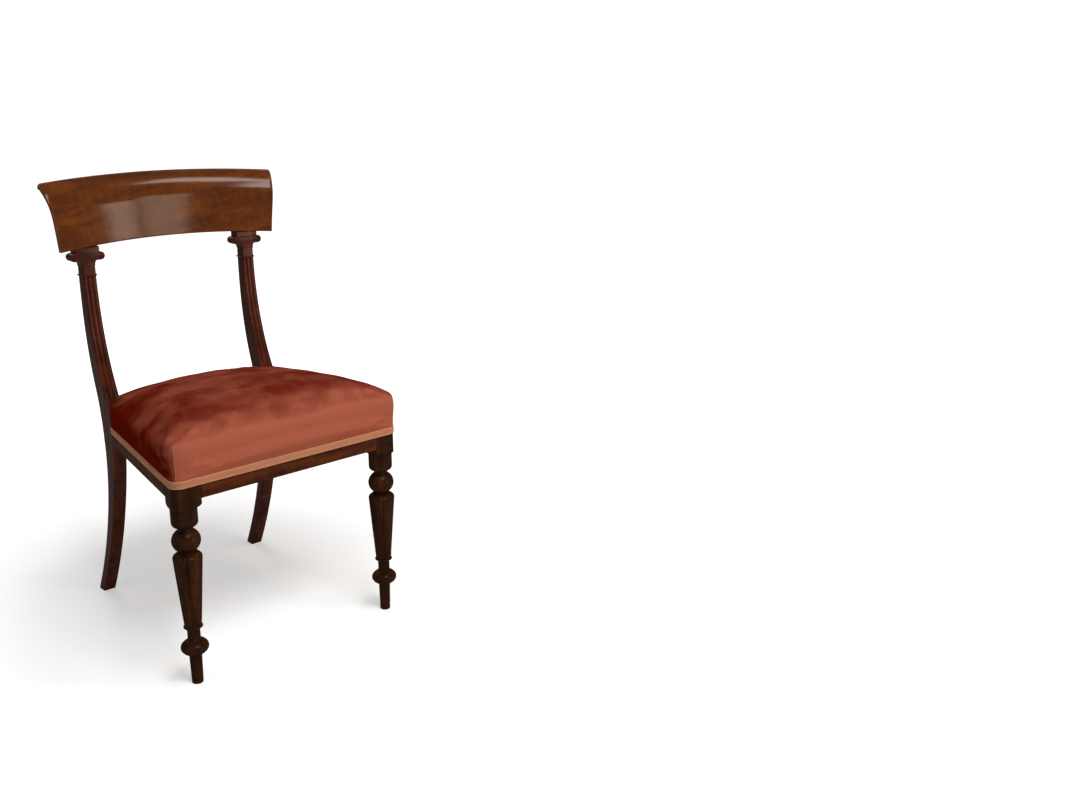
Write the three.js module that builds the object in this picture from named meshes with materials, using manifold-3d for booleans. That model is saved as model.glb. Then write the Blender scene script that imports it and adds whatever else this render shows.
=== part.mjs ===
// A bar-back dining chair of the klismos line, in millimetres with +Z up; the sitter faces -Y.
// A curved crest rail sits on two reeded back posts, which run down into sabre legs. The turned
// front legs have shafts of six broad reeds. The seat is stuffed over a tenoned frame: woven webbing,
// hessian, stuffing, velvet and a gimp braid that covers the velvet's raw edge.
import * as THREE from 'three';
import { mergeVertices } from 'three/addons/utils/BufferGeometryUtils.js';
import Module from 'manifold-3d';

const wasm = await Module();
wasm.setup();

// Gaps and cuts
const jointGap = 0.3;
const cutOverrun = 5;

// Seat frame, measured over its polished faces
const seatWidthFront = 459;
const seatWidthBack = 365;
const seatFrameDepth = 347;
const railHeight = 57;
const railThickness = 24;
const railEdgeChamfer = 1.5;
const showWoodHeight = 25;
const rebateDepth = 2.5;
const tenonThickness = 10;
const tenonShoulder = 8;
const tenonLengthShare = 0.42;
const backRailSetback = 16;
const backRailThickness = 22;

// Front legs, from the floor up; the shaft's diameters are over its reeds
const footLength = 57;
const footToeDiameter = 20;
const footTopDiameter = 22.5;
const knopLength = 27;
const knopDiameter = 49;
const knopPower = 1.5;
const ankleLength = 24;
const ankleDiameter = 22.6;
const lipLength = 5;
const lipDiameter = 34;
const shaftLength = 130;
const shaftLowDiameter = 30;
const shaftHighDiameter = 51;
const shoulderLength = 9;
const collarLength = 4;
const collarDiameter = 27;
const ballLength = 38;
const ballDiameter = 50;
const ballPower = 1.5;
const throatLength = 7;
const throatDiameter = 26;
const drumLength = 37;
const drumDiameter = 46;
const drumRounding = 9;
const legBlockSize = 48;
const legBlockBelowRail = 15;
const pommelLength = 8;
const pommelReachShare = 0.72;
const shaftReeds = 6;
const shaftReedShares = [0, 0.07, 0.2, 0.4, 0.6, 0.8, 0.93];
const shaftReedRoundShare = 0.8;
const shaftGrooveShare = 0.05;
const turningSides = 24;

// Back posts: the sabre leg, the block at the seat and the upright
const footSweep = 109;
const footSplay = 4;
const footDepth = 26;
const footWidth = 24.5;
const postSeatDepth = 43;
const postSeatWidth = 27;
const ledgeAboveRail = 37;
const ledgeDepth = 11;
const ledgeRounding = 1;
const uprightLowDepth = 46;
const uprightHighDepth = 21;
const uprightHighWidth = 22;
const postTopSetback = 77.5;
const postBackChamfer = 3;
const postFrontEase = 1;
const reedDepth = 1.8;
const reedCount = 3;
const reedSpacingPower = 1.3;
const sweepPower = 1.8;
const legDepthPower = 3.3;
const leanPower = 2.5;
const slimmingPower = 1.6;

// Capital at the top of each post, from the crest rail's underside down
const abacusHeight = 10;
const abacusWidth = 46;
const voluteDiameter = 15.6;
const capitalWidth = 66;
const capitalDepth = 23;
const capitalThroatWidth = 36;
const coveHeight = 10;
const neckLength = 17;
const astragalHeight = 3;
const astragalReach = 2.5;
const voluteEyeDiameter = 6;
const voluteEyeReach = 1;
const postTenonWidth = 24;
const postTenonThickness = 9;
const postTenonHeight = 26;

// Crest rail: its lower corners' width and height, its lean-over, splay and curve in plan
const crestUnderHeight = 731;
const crestHeight = 129;
const crestLowWidth = 446;
const crestSplay = 11.4;
const crestHornSplay = 7.8;
const crestRollOver = 27;
const crestSag = 34;
const crestCamber = 9;
const crestLowThickness = 24;
const crestWaistThickness = 20;
const crestTopThickness = 12;
const crestEndThicknessShare = 0.4;
const crestThinningPower = 5;
const crestTopRounding = 2;
const crestTopFlatShares = [0.3, 0.7];
const crestCornerRadius = 6;
const rollStartShare = 0.48;
const rollPower = 2.3;
const hornPower = 4;

// Corner blocks and their screws
const cornerBlockReach = 78;
const cornerBlockHeight = 34;
const cornerBlockDrop = 12;
const screwPlaceShare = 0.3;
const screwLength = 34;
const screwBite = 16;
const screwShankDiameter = 4;
const screwHeadDiameter = 8.5;
const screwHeadHeight = 3;
const screwPocketRoom = 0.8;
const screwSides = 10;

// Webbing and hessian
const webWidth = 50;
const webThickness = 1.6;
const webFoldLength = 14;
const webEdgeInset = 3;
const webCrossingMargin = 3;
const websEachWay = 4;
const webPlaceShares = [-0.68, -0.22, 0.22, 0.68];
const hessianThickness = 1;
const hessianInset = 1;

// Stuffed seat: velvet, its rounded front corners, swell and crown, and the gimp
const velvetThickness = 2;
const seatCornerRadius = 18;
const seatFrontEdgeAboveRail = 52;
const seatBackEdgeAboveRail = 19;
const seatCrownRise = 41;
const seatSwell = 6.5;
const backSwellShare = 0.3;
const crownFrontShare = 0.5;
const crownBackDropShare = 0.45;
const crownSidePower = 4.5;
const crownFrontPower = 4.2;
const swellFadePower = 4;
const gimpHeight = 14;
const gimpThickness = 2;
const gimpHeadroom = 1.5;
const wallHeightShares = [0.3, 0.56, 0.8, 0.93, 1];
const wallSwellShares = [0.5, 0.9, 1, 0.7, 0];
const topRingShares = [0.96, 0.88, 0.74, 0.55, 0.3];

// Heights and places that follow from the sizes above
const legBlockUnder = footLength + knopLength + ankleLength + lipLength + shaftLength
  + shoulderLength + collarLength + ballLength + throatLength + drumLength;
const railUnder = legBlockUnder + legBlockBelowRail;
const railTop = railUnder + railHeight;
const showTop = railUnder + showWoodHeight;
const frontFace = -legBlockSize / 2;
const legAxisX = (seatWidthFront - legBlockSize) / 2;
const legInnerX = legAxisX - legBlockSize / 2;
const legBackY = legBlockSize / 2;
const sideSlope = (seatWidthFront - seatWidthBack) / 2 / seatFrameDepth;
const sideAngle = Math.atan(sideSlope);
const postOuterX = seatWidthBack / 2;
const postInnerX = postOuterX - postSeatWidth;
const postMiddleX = postOuterX - postSeatWidth / 2;
const backRailFront = seatFrameDepth + backRailSetback;
const backRailBack = backRailFront + backRailThickness;
const ledgeHeight = railTop + ledgeAboveRail;
const postTopY = seatFrameDepth + postTopSetback;
const footMiddleY = seatFrameDepth + postSeatDepth / 2 + footSweep;
const coverStand = jointGap + velvetThickness;

// Colours and surfaces
const mahogany = new THREE.MeshStandardMaterial({ color: '#5f3418', roughness: 0.28 });
const darkMahogany = new THREE.MeshStandardMaterial({ color: '#3b1d10', roughness: 0.32 });
const beech = new THREE.MeshStandardMaterial({ color: '#b58a5a', roughness: 0.7 });
const steel = new THREE.MeshStandardMaterial({ color: '#77736c', roughness: 0.4, metalness: 1 });
const velvet = new THREE.MeshStandardMaterial({ color: '#853522', roughness: 0.9 });
const gimp = new THREE.MeshStandardMaterial({ color: '#ab7551', roughness: 0.8 });
const jute = new THREE.MeshStandardMaterial({ color: '#a98c62', roughness: 0.95 });
const horsehair = new THREE.MeshStandardMaterial({ color: '#cfc4ac', roughness: 1 });

const chair = new THREE.Group();

// A closed geometry as a solid that can be joined and cut
function solidOf(geometry) {
  const bare = geometry.index ? geometry.toNonIndexed() : geometry.clone();
  bare.deleteAttribute('normal');
  bare.deleteAttribute('uv');
  const merged = mergeVertices(bare);
  return new wasm.Manifold(new wasm.Mesh({
    numProp: 3,
    vertProperties: new Float32Array(merged.attributes.position.array),
    triVerts: new Uint32Array(merged.index.array),
  }));
}

// A solid as a geometry, turned over to the chair's other side where side is -1
function geometryOf(solid, side = 1) {
  const mesh = solid.getMesh();
  const positions = Float32Array.from(mesh.vertProperties);
  for (let i = 0; i < positions.length; i += 3) positions[i] *= side;
  const triangles = Array.from(mesh.triVerts);
  for (let i = 0; side < 0 && i < triangles.length; i += 3) {
    [triangles[i], triangles[i + 1]] = [triangles[i + 1], triangles[i]];
  }
  const geometry = new THREE.BufferGeometry();
  geometry.setAttribute('position', new THREE.BufferAttribute(positions, 3));
  geometry.setIndex(triangles);
  geometry.computeVertexNormals();
  return geometry;
}

function addPiece(name, solid, material, side = 1) {
  const mesh = new THREE.Mesh(geometryOf(solid, side), material);
  mesh.name = name;
  chair.add(mesh);
}

// The same piece on both sides of the chair; solids are drawn on the +X side
function addPair(name, solid, material) {
  addPiece(`${name}_left`, solid, material, 1);
  addPiece(`${name}_right`, solid, material, -1);
}

function shapeOf(points) {
  return new THREE.Shape(points.map(([x, y]) => new THREE.Vector2(x, y)));
}

// An outline in plan, raised from one height to another
function raised(shape, low, high) {
  const geometry = new THREE.ExtrudeGeometry(shape, { depth: high - low, bevelEnabled: false });
  return solidOf(geometry.translate(0, 0, low));
}

// An outline whose width runs along one direction and whose height runs up, drawn out sideways
// from a start point along the direction that points to the right of the width
function drawnOut(shape, width, length, start, segments = 10) {
  const up = new THREE.Vector3(0, 0, 1);
  const along = width.clone().cross(up);
  const options = { depth: length, bevelEnabled: false, curveSegments: segments };
  const geometry = new THREE.ExtrudeGeometry(shape, options);
  geometry.applyMatrix4(new THREE.Matrix4().makeBasis(width, up, along));
  return solidOf(geometry.translate(start.x, start.y, start.z));
}

function block(low, high) {
  const size = new THREE.Vector3().subVectors(high, low);
  const middle = new THREE.Vector3().addVectors(low, high).multiplyScalar(0.5);
  const geometry = new THREE.BoxGeometry(size.x, size.y, size.z);
  return solidOf(geometry.translate(middle.x, middle.y, middle.z));
}

// Closed rings joined into one skin, with a fan of triangles over each end
function loftOf(rings) {
  const count = rings[0].length;
  const points = rings.flat();
  const triangles = [];
  for (let r = 0; r + 1 < rings.length; r += 1) {
    for (let i = 0; i < count; i += 1) {
      const a = r * count + i;
      const b = r * count + ((i + 1) % count);
      triangles.push(a, b, b + count, a, b + count, a + count);
    }
  }
  for (const [start, turn] of [[0, 1], [(rings.length - 1) * count, -1]]) {
    const middle = new THREE.Vector3();
    for (let i = 0; i < count; i += 1) middle.add(points[start + i]);
    points.push(middle.divideScalar(count));
    for (let i = 0; i < count; i += 1) {
      const a = start + i;
      const b = start + ((i + 1) % count);
      const tip = points.length - 1;
      triangles.push(...(turn > 0 ? [b, a, tip] : [a, b, tip]));
    }
  }
  const geometry = new THREE.BufferGeometry().setFromPoints(points);
  geometry.setIndex(triangles);
  return solidOf(geometry);
}

// A turned piece from its radii and heights; its outline starts and ends on the axis
function turned(profile, sides) {
  const first = profile[0][1];
  const last = profile[profile.length - 1][1];
  const points = [[0, first], ...profile, [0, last]].map(([r, z]) => new THREE.Vector2(r, z));
  const geometry = new THREE.LatheGeometry(points, sides);
  return solidOf(geometry.rotateX(Math.PI / 2));
}

// Points of a swelling between two heights, from one radius out to another and back; a power
// above one makes it more pointed
function bead(innerRadius, outerRadius, low, high, steps, power = 1) {
  const points = [];
  for (let i = 0; i <= steps; i += 1) {
    const turn = (Math.PI * i) / steps;
    const radius = innerRadius + (outerRadius - innerRadius) * Math.sin(turn) ** power;
    points.push([radius, (low + high) / 2 - ((high - low) / 2) * Math.cos(turn)]);
  }
  return points;
}

// The seat frame's outer faces in plan, moved outwards by a stand-off
function sideFaceX(y, stand) {
  return seatWidthFront / 2 - sideSlope * y + stand / Math.cos(sideAngle);
}

// The middle of the rounding at the seat's front corners, the same for wood, velvet and gimp
const faceCornerRadius = seatCornerRadius - coverStand;
const cornerY = frontFace + rebateDepth + faceCornerRadius;
const cornerX = sideFaceX(cornerY, -rebateDepth - faceCornerRadius);

function frontCornerPoints(radius, steps) {
  const points = [];
  for (let i = 0; i <= steps; i += 1) {
    const turn = sideAngle - ((Math.PI / 2 + sideAngle) * i) / steps;
    points.push([cornerX + radius * Math.cos(turn), cornerY + radius * Math.sin(turn)]);
  }
  return points;
}

// The whole frame in plan, posts included, with its faces moved outwards from the rebate
function frameFootprint(stand) {
  const backY = backRailBack - rebateDepth + stand;
  const half = [
    [sideFaceX(backY, stand - rebateDepth), backY],
    ...frontCornerPoints(faceCornerRadius + stand, 6),
  ];
  const other = half.map(([x, y]) => [-x, y]).reverse();
  return shapeOf([...half, ...other]);
}

const sideInward = new THREE.Vector3(-Math.cos(sideAngle), -Math.sin(sideAngle), 0);
const sideAlong = new THREE.Vector3(-Math.sin(sideAngle), Math.cos(sideAngle), 0);
const acrossRight = new THREE.Vector3(1, 0, 0);
const backwards = new THREE.Vector3(0, 1, 0);

// A rail's end view: its polished strip stands out below the rebate for the velvet.
// The polished face is at zero, and the width runs into the wood
function railSection(thickness) {
  return shapeOf([
    [railEdgeChamfer, railUnder],
    [thickness, railUnder],
    [thickness, railTop],
    [rebateDepth, railTop],
    [rebateDepth, showTop],
    [0, showTop],
    [0, railUnder + railEdgeChamfer],
  ]);
}

function tenonSection(thickness, room) {
  const middle = (thickness + rebateDepth) / 2;
  const half = tenonThickness / 2 + room;
  const low = railUnder + tenonShoulder - room;
  const high = railTop - tenonShoulder + room;
  return shapeOf([
    [middle - half, low],
    [middle + half, low],
    [middle + half, high],
    [middle - half, high],
  ]);
}

const legTenonLength = legBlockSize * tenonLengthShare;
const postTenonLength = postSeatWidth * tenonLengthShare;

// Tenons run through a rail from end to end, so one bar makes both of them, and the same bar
// with room around it cuts both mortises
function frontTenons(room) {
  const reach = legInnerX + legTenonLength + room;
  const start = new THREE.Vector3(-reach, frontFace, 0);
  return drawnOut(tenonSection(railThickness, room), backwards, 2 * reach, start);
}

function backTenons(room) {
  const reach = postInnerX + postTenonLength + room;
  const start = new THREE.Vector3(reach, backRailBack, 0);
  const inwards = backwards.clone().negate();
  return drawnOut(tenonSection(backRailThickness, room), inwards, 2 * reach, start);
}

function between(solid, lowY, highY) {
  const wide = seatWidthFront;
  const low = new THREE.Vector3(-wide, lowY, -cutOverrun);
  const high = new THREE.Vector3(wide, highY, crestUnderHeight);
  return solid.intersect(block(low, high));
}

// A bar along the side rail's line, long enough to be cut to length between two planes
function sideBar(section) {
  const start = new THREE.Vector3(sideFaceX(frontFace, 0), frontFace, 0);
  const length = (seatFrameDepth + postSeatDepth - frontFace) / Math.cos(sideAngle);
  return drawnOut(section, sideInward, length, start);
}

function sideTenons(room) {
  const lowY = legBackY - legTenonLength - room;
  const highY = seatFrameDepth + postTenonLength + room;
  return between(sideBar(tenonSection(railThickness, room)), lowY, highY);
}

function frontRail() {
  const half = legInnerX - jointGap;
  const start = new THREE.Vector3(-half, frontFace, 0);
  const body = drawnOut(railSection(railThickness), backwards, 2 * half, start);
  return body.add(frontTenons(0));
}

function backRail() {
  const half = postInnerX - jointGap;
  const start = new THREE.Vector3(half, backRailBack, 0);
  const inwards = backwards.clone().negate();
  const body = drawnOut(railSection(backRailThickness), inwards, 2 * half, start);
  return body.add(backTenons(0));
}

function sideRail() {
  const body = sideBar(railSection(railThickness));
  const cut = between(body, legBackY + jointGap, seatFrameDepth - jointGap);
  return cut.add(sideTenons(0));
}

// The block on a front leg, cut to the frame's faces: polished low down, rebated higher up
function legBlock(room) {
  const low = new THREE.Vector3(legInnerX - room, frontFace - cutOverrun, legBlockUnder - room);
  const high = new THREE.Vector3(seatWidthFront / 2 + legBlockSize, legBackY + room, railTop + room);
  const square = block(low, high);
  const polished = raised(frameFootprint(rebateDepth), legBlockUnder - room, showTop);
  const rebated = raised(frameFootprint(0), legBlockUnder, railTop + room);
  return square.intersect(polished.add(rebated));
}

// A level ring of a front leg's shaft: broad rounded reeds with a narrow groove between each two
function shaftRing(radius, height) {
  const roundRadius = radius * shaftReedRoundShare;
  const roundMiddle = radius - roundRadius;
  const reedTurn = (2 * Math.PI) / shaftReeds;
  const ring = [];
  for (let reed = 0; reed < shaftReeds; reed += 1) {
    for (const share of shaftReedShares) {
      const aside = reedTurn * (share - 0.5);
      const across = roundMiddle * Math.sin(aside);
      const face = roundMiddle * Math.cos(aside) + Math.sqrt(roundRadius ** 2 - across ** 2);
      const reach = share === 0 ? face - radius * shaftGrooveShare : face;
      const turn = reedTurn * (reed + share);
      const x = legAxisX + reach * Math.cos(turn);
      ring.push(new THREE.Vector3(x, reach * Math.sin(turn), height));
    }
  }
  return ring;
}

// The tapering shaft, rounded over at its top into the collar
function reededShaft(low) {
  const collar = collarDiameter / 2;
  const top = shaftHighDiameter / 2;
  const shoulderLow = low + shaftLength;
  const rings = [shaftRing(shaftLowDiameter / 2, low)];
  const steps = 4;
  for (let i = 0; i <= steps; i += 1) {
    const turn = (Math.PI / 2) * (i / steps);
    const radius = collar + (top - collar) * Math.cos(turn);
    rings.push(shaftRing(radius, shoulderLow + shoulderLength * Math.sin(turn)));
  }
  return loftOf(rings);
}

// The turned outline that rounds the square block's lower corners down to the drum
function pommel() {
  const drum = drumDiameter / 2;
  const reach = legBlockSize * pommelReachShare;
  const profile = [];
  const steps = 4;
  for (let i = 0; i <= steps; i += 1) {
    const turn = (Math.PI / 2) * (i / steps);
    const radius = drum + (reach - drum) * Math.sin(turn);
    profile.push([radius, legBlockUnder + pommelLength * (1 - Math.cos(turn))]);
  }
  profile.push([reach, railTop + cutOverrun]);
  return turned(profile, turningSides).translate([legAxisX, 0, 0]);
}

function frontLeg() {
  const knopLow = footLength;
  const ankleLow = knopLow + knopLength;
  const lipLow = ankleLow + ankleLength;
  const shaftLow = lipLow + lipLength;
  const shoulderLow = shaftLow + shaftLength;
  const collarLow = shoulderLow + shoulderLength;
  const ballLow = collarLow + collarLength;
  const throatLow = ballLow + ballLength;
  const drumLow = throatLow + throatLength;
  const ankle = ankleDiameter / 2;
  const collar = collarDiameter / 2;
  const throat = throatDiameter / 2;
  const drum = drumDiameter / 2;
  const foot = turned([
    [footToeDiameter / 2, 0],
    [footTopDiameter / 2, knopLow],
    ...bead(ankle, knopDiameter / 2, knopLow, ankleLow, 10, knopPower),
    [ankle, (ankleLow + lipLow) / 2],
    ...bead(ankle, lipDiameter / 2, lipLow, shaftLow, 4),
    [ankle, shaftLow + shoulderLength],
  ], turningSides);
  const roundedDrum = [];
  for (let i = 0; i <= 3; i += 1) {
    const turn = (Math.PI / 2) * (i / 3);
    const radius = drum - drumRounding * (1 - Math.sin(turn));
    roundedDrum.push([radius, drumLow + drumRounding * (1 - Math.cos(turn))]);
  }
  const head = turned([
    [collar, collarLow - shoulderLength / 2],
    ...bead(collar, ballDiameter / 2, ballLow, throatLow, 10, ballPower),
    [throat, drumLow],
    ...roundedDrum,
    [drum, legBlockUnder + legBlockBelowRail / 2],
  ], turningSides);
  const turnings = foot.add(head).translate([legAxisX, 0, 0]).add(reededShaft(shaftLow));
  const whole = turnings.add(legBlock(0).intersect(pommel()));
  return whole.subtract(frontTenons(jointGap)).subtract(sideTenons(jointGap));
}

// A back post's outline at a height: front and back faces, middle, width and reeding
function postAt(height) {
  if (height <= railUnder) {
    const down = 1 - height / railUnder;
    const depth = footDepth + (postSeatDepth - footDepth) * (1 - down) ** legDepthPower;
    const middle = seatFrameDepth + postSeatDepth / 2 + footSweep * down ** sweepPower;
    return {
      front: middle - depth / 2,
      back: middle + depth / 2,
      x: postMiddleX + footSplay * down ** sweepPower,
      width: footWidth + (postSeatWidth - footWidth) * (1 - down),
    };
  }
  const lowBack = seatFrameDepth + postSeatDepth;
  const ledgeBack = seatFrameDepth + ledgeDepth + uprightLowDepth;
  if (height <= ledgeHeight) {
    const up = (height - railUnder) / (ledgeHeight - railUnder);
    const back = lowBack + (ledgeBack - lowBack) * up ** sweepPower;
    return { front: seatFrameDepth, back, x: postMiddleX, width: postSeatWidth };
  }
  const left = Math.max(0, 1 - (height - ledgeHeight) / (neckTop - ledgeHeight));
  const lowMiddle = ledgeBack - uprightLowDepth / 2;
  const middle = postTopY - (postTopY - lowMiddle) * left ** leanPower;
  const depth = uprightHighDepth + (uprightLowDepth - uprightHighDepth) * left ** slimmingPower;
  const width = uprightHighWidth + (postSeatWidth - uprightHighWidth) * left ** slimmingPower;
  return { front: middle - depth / 2, back: middle + depth / 2, x: postMiddleX, width };
}

// One level ring of the post: reeds across the front, flat sides and a back with cut corners
function postRing(height, outline, reeding) {
  const half = outline.width / 2;
  const steps = 4 * reedCount;
  const ring = [];
  for (let i = 0; i <= steps; i += 1) {
    const share = i / steps;
    const inReed = 2 * ((share * reedCount) % 1) - 1;
    const hollow = reeding * (1 - Math.sqrt(Math.max(0, 1 - inReed * inReed)));
    const edge = i === 0 || i === steps ? Math.max(0, postFrontEase - reeding) : 0;
    const x = outline.x - half + outline.width * share;
    ring.push(new THREE.Vector3(x, outline.front + hollow + edge, height));
  }
  const cut = postBackChamfer;
  ring.push(new THREE.Vector3(outline.x + half, outline.back - cut, height));
  ring.push(new THREE.Vector3(outline.x + half - cut, outline.back, height));
  ring.push(new THREE.Vector3(outline.x - half + cut, outline.back, height));
  ring.push(new THREE.Vector3(outline.x - half, outline.back - cut, height));
  return ring;
}

// Heights at the top of the post, worked down from the underside of the crest rail
const crestLowHalf = crestLowWidth / 2;
const postPlace = postMiddleX / crestLowHalf;
const crestUnderAtPost = crestUnderHeight + crestCamber * (1 - postPlace ** 2);
const abacusLow = crestUnderAtPost - abacusHeight;
const voluteMiddle = abacusLow - voluteDiameter / 2;
const capitalLow = abacusLow - voluteDiameter;
const neckTop = capitalLow - coveHeight;
const astragalLow = neckTop - neckLength - astragalHeight;

function postShaft() {
  const rings = [];
  const legSteps = 11;
  for (let i = 0; i <= legSteps; i += 1) {
    const height = (railUnder * i) / legSteps;
    rings.push(postRing(height, postAt(height), 0));
  }
  const blockSteps = 3;
  for (let i = 1; i <= blockSteps; i += 1) {
    const height = railUnder + ((ledgeHeight - railUnder) * i) / blockSteps;
    rings.push(postRing(height, postAt(height), 0));
  }
  const reedLow = ledgeHeight + ledgeRounding;
  const reedHigh = astragalLow + astragalHeight / 2;
  const reedSteps = 12;
  for (let i = 0; i <= reedSteps; i += 1) {
    const height = reedLow + (reedHigh - reedLow) * (i / reedSteps) ** reedSpacingPower;
    rings.push(postRing(height, postAt(height), reedDepth));
  }
  const plainLow = reedHigh + astragalHeight / 4;
  for (const height of [plainLow, neckTop, voluteMiddle]) {
    rings.push(postRing(height, postAt(height), 0));
  }
  return loftOf(rings);
}

// The thin ring round the top of the reeding
function astragal() {
  const outline = postAt(astragalLow);
  const half = outline.width / 2;
  const shape = shapeOf([
    [outline.x - half, outline.front],
    [outline.x + half, outline.front],
    [outline.x + half, outline.back],
    [outline.x - half, outline.back],
  ]);
  const bevel = astragalHeight / 3;
  const geometry = new THREE.ExtrudeGeometry(shape, {
    depth: astragalHeight - 2 * bevel,
    bevelThickness: bevel,
    bevelSize: astragalReach,
    bevelSegments: 3,
  });
  return solidOf(geometry.translate(0, 0, astragalLow + bevel));
}

// The capital's face: a hollow under a bar with a scroll at each end, and a flat block on top
function capitalShape() {
  const neck = uprightHighWidth / 2;
  const throat = capitalThroatWidth / 2;
  const scroll = voluteDiameter / 2;
  const scrollX = capitalWidth / 2 - scroll;
  const topRoom = crestCamber + abacusHeight;
  const shape = new THREE.Shape();
  shape.moveTo(-neck, neckTop);
  shape.lineTo(neck, neckTop);
  shape.quadraticCurveTo(neck, capitalLow, throat, capitalLow);
  shape.absarc(scrollX, voluteMiddle, scroll, -Math.PI / 2, Math.PI / 2, false);
  shape.lineTo(abacusWidth / 2, abacusLow);
  shape.lineTo(abacusWidth / 2, abacusLow + topRoom);
  shape.lineTo(-abacusWidth / 2, abacusLow + topRoom);
  shape.lineTo(-abacusWidth / 2, abacusLow);
  shape.absarc(-scrollX, voluteMiddle, scroll, Math.PI / 2, (Math.PI * 3) / 2, false);
  shape.lineTo(-throat, capitalLow);
  shape.quadraticCurveTo(-neck, capitalLow, -neck, neckTop);
  return shape;
}

function capital() {
  const front = postTopY - capitalDepth / 2;
  const start = new THREE.Vector3(postMiddleX, postTopY + capitalDepth / 2, 0);
  let body = drawnOut(capitalShape(), acrossRight, capitalDepth, start, 8);
  const eyeRadius = voluteEyeDiameter / 2;
  const eyeLength = capitalDepth + 2 * voluteEyeReach;
  for (const side of [-1, 1]) {
    const eye = new THREE.CylinderGeometry(eyeRadius, eyeRadius, eyeLength, screwSides);
    const x = postMiddleX + (side * (capitalWidth - voluteDiameter)) / 2;
    body = body.add(solidOf(eye.translate(x, front + capitalDepth / 2, voluteMiddle)));
  }
  return body;
}

// Everything above the crest rail's arched underside, to trim the capitals to it
function aboveCrestUnder() {
  const reach = crestLowHalf + cutOverrun;
  const points = [];
  const steps = 24;
  for (let i = 0; i <= steps; i += 1) {
    const x = -reach + (2 * reach * i) / steps;
    const share = x / crestLowHalf;
    points.push([x, crestUnderHeight + crestCamber * (1 - share * share) - jointGap]);
  }
  const top = crestUnderHeight + crestHeight;
  const shape = shapeOf([...points, [reach, top], [-reach, top]]);
  const depth = 2 * capitalDepth;
  const start = new THREE.Vector3(0, postTopY + capitalDepth, 0);
  return drawnOut(shape, acrossRight, depth, start);
}

function postTenon(room) {
  const low = new THREE.Vector3(
    postMiddleX - postTenonWidth / 2 - room,
    postTopY - postTenonThickness / 2 - room,
    capitalLow,
  );
  const high = new THREE.Vector3(
    postMiddleX + postTenonWidth / 2 + room,
    postTopY + postTenonThickness / 2 + room,
    crestUnderAtPost + postTenonHeight + room,
  );
  return block(low, high);
}

function backPost() {
  const upper = capital().subtract(aboveCrestUnder());
  const whole = postShaft().add(astragal()).add(upper).add(postTenon(0));
  return whole.subtract(backTenons(jointGap)).subtract(sideTenons(jointGap));
}

// The crest rail's thickness at a share of its height and a place from its middle
function crestThickness(rise, place) {
  const low = crestLowThickness + (crestWaistThickness - crestLowThickness) * Math.min(1, 2 * rise);
  const upper = (crestTopThickness - crestWaistThickness) * Math.max(0, 2 * rise - 1);
  const thinning = 1 - (1 - crestEndThicknessShare) * Math.abs(place) ** crestThinningPower;
  return (low + upper) * thinning;
}

const crestFrontEnd = postTopY - crestThickness(0, postPlace) / 2 - crestSag * (1 - postPlace ** 2);

// A point of the crest rail: its place runs from -1 to 1 along the rail, its rise from 0 to 1,
// and its depth from the front face, 0, to the back face, 1
function crestPoint(place, rise, depth, dip) {
  const half = crestLowHalf + crestSplay * rise + crestHornSplay * rise ** hornPower;
  const past = Math.max(0, (rise - rollStartShare) / (1 - rollStartShare));
  const front = crestFrontEnd + crestSag * (1 - place * place) + crestRollOver * past ** rollPower;
  const bow = crestCamber * (1 - place * place);
  const intoCorner = (Math.abs(place) * half - half + crestCornerRadius) / crestCornerRadius;
  const corner = Math.min(1, Math.max(0, intoCorner));
  const cornerDrop = crestCornerRadius * (1 - Math.sqrt(1 - corner * corner));
  const height = crestHeight - cornerDrop;
  const z = crestUnderHeight + bow + height * rise - dip;
  return new THREE.Vector3(place * half, front + crestThickness(rise, place) * depth, z);
}

function crestRail() {
  const rings = [];
  const steps = 26;
  const frontSteps = 9;
  const backSteps = 6;
  for (let i = 0; i <= steps; i += 1) {
    const place = -Math.cos((Math.PI * i) / steps);
    const ring = [];
    for (let j = 0; j <= frontSteps; j += 1) {
      const dip = j === frontSteps ? crestTopRounding / 2 : 0;
      ring.push(crestPoint(place, j / frontSteps, 0, dip));
    }
    ring.push(...crestTopFlatShares.map((depth) => crestPoint(place, 1, depth, 0)));
    for (let j = 0; j <= backSteps; j += 1) {
      const dip = j === 0 ? crestTopRounding : 0;
      ring.push(crestPoint(place, 1 - j / backSteps, 1, dip));
    }
    rings.push(ring);
  }
  const mortise = postTenon(jointGap);
  const body = loftOf(rings.map((ring) => ring.reverse()));
  const other = solidOf(geometryOf(mortise, -1));
  return body.subtract(mortise).subtract(other);
}

// A wood screw along a direction, with its head's top at the start; room widens and deepens it
function screw(start, direction, room) {
  const shank = screwShankDiameter / 2 + room;
  const head = screwHeadDiameter / 2 + room;
  const solid = new THREE.LatheGeometry([
    new THREE.Vector2(0, -screwLength - room),
    new THREE.Vector2(shank, -screwLength + shank - room),
    new THREE.Vector2(shank, -screwHeadHeight),
    new THREE.Vector2(head, 0),
    new THREE.Vector2(0, 0),
  ], screwSides);
  const turn = new THREE.Quaternion().setFromUnitVectors(new THREE.Vector3(0, -1, 0), direction);
  solid.applyQuaternion(turn);
  return solidOf(solid.translate(start.x, start.y, start.z));
}

// The pocket that sinks a screw's head into the slanting face of a corner block
function screwPocket(start, direction) {
  const radius = screwHeadDiameter / 2 + screwPocketRoom;
  const length = cornerBlockReach;
  const pocket = new THREE.CylinderGeometry(radius, radius, length, screwSides);
  const turn = new THREE.Quaternion().setFromUnitVectors(new THREE.Vector3(0, 1, 0), direction);
  pocket.translate(0, -length / 2, 0).applyQuaternion(turn);
  return solidOf(pocket.translate(start.x, start.y, start.z));
}

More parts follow.
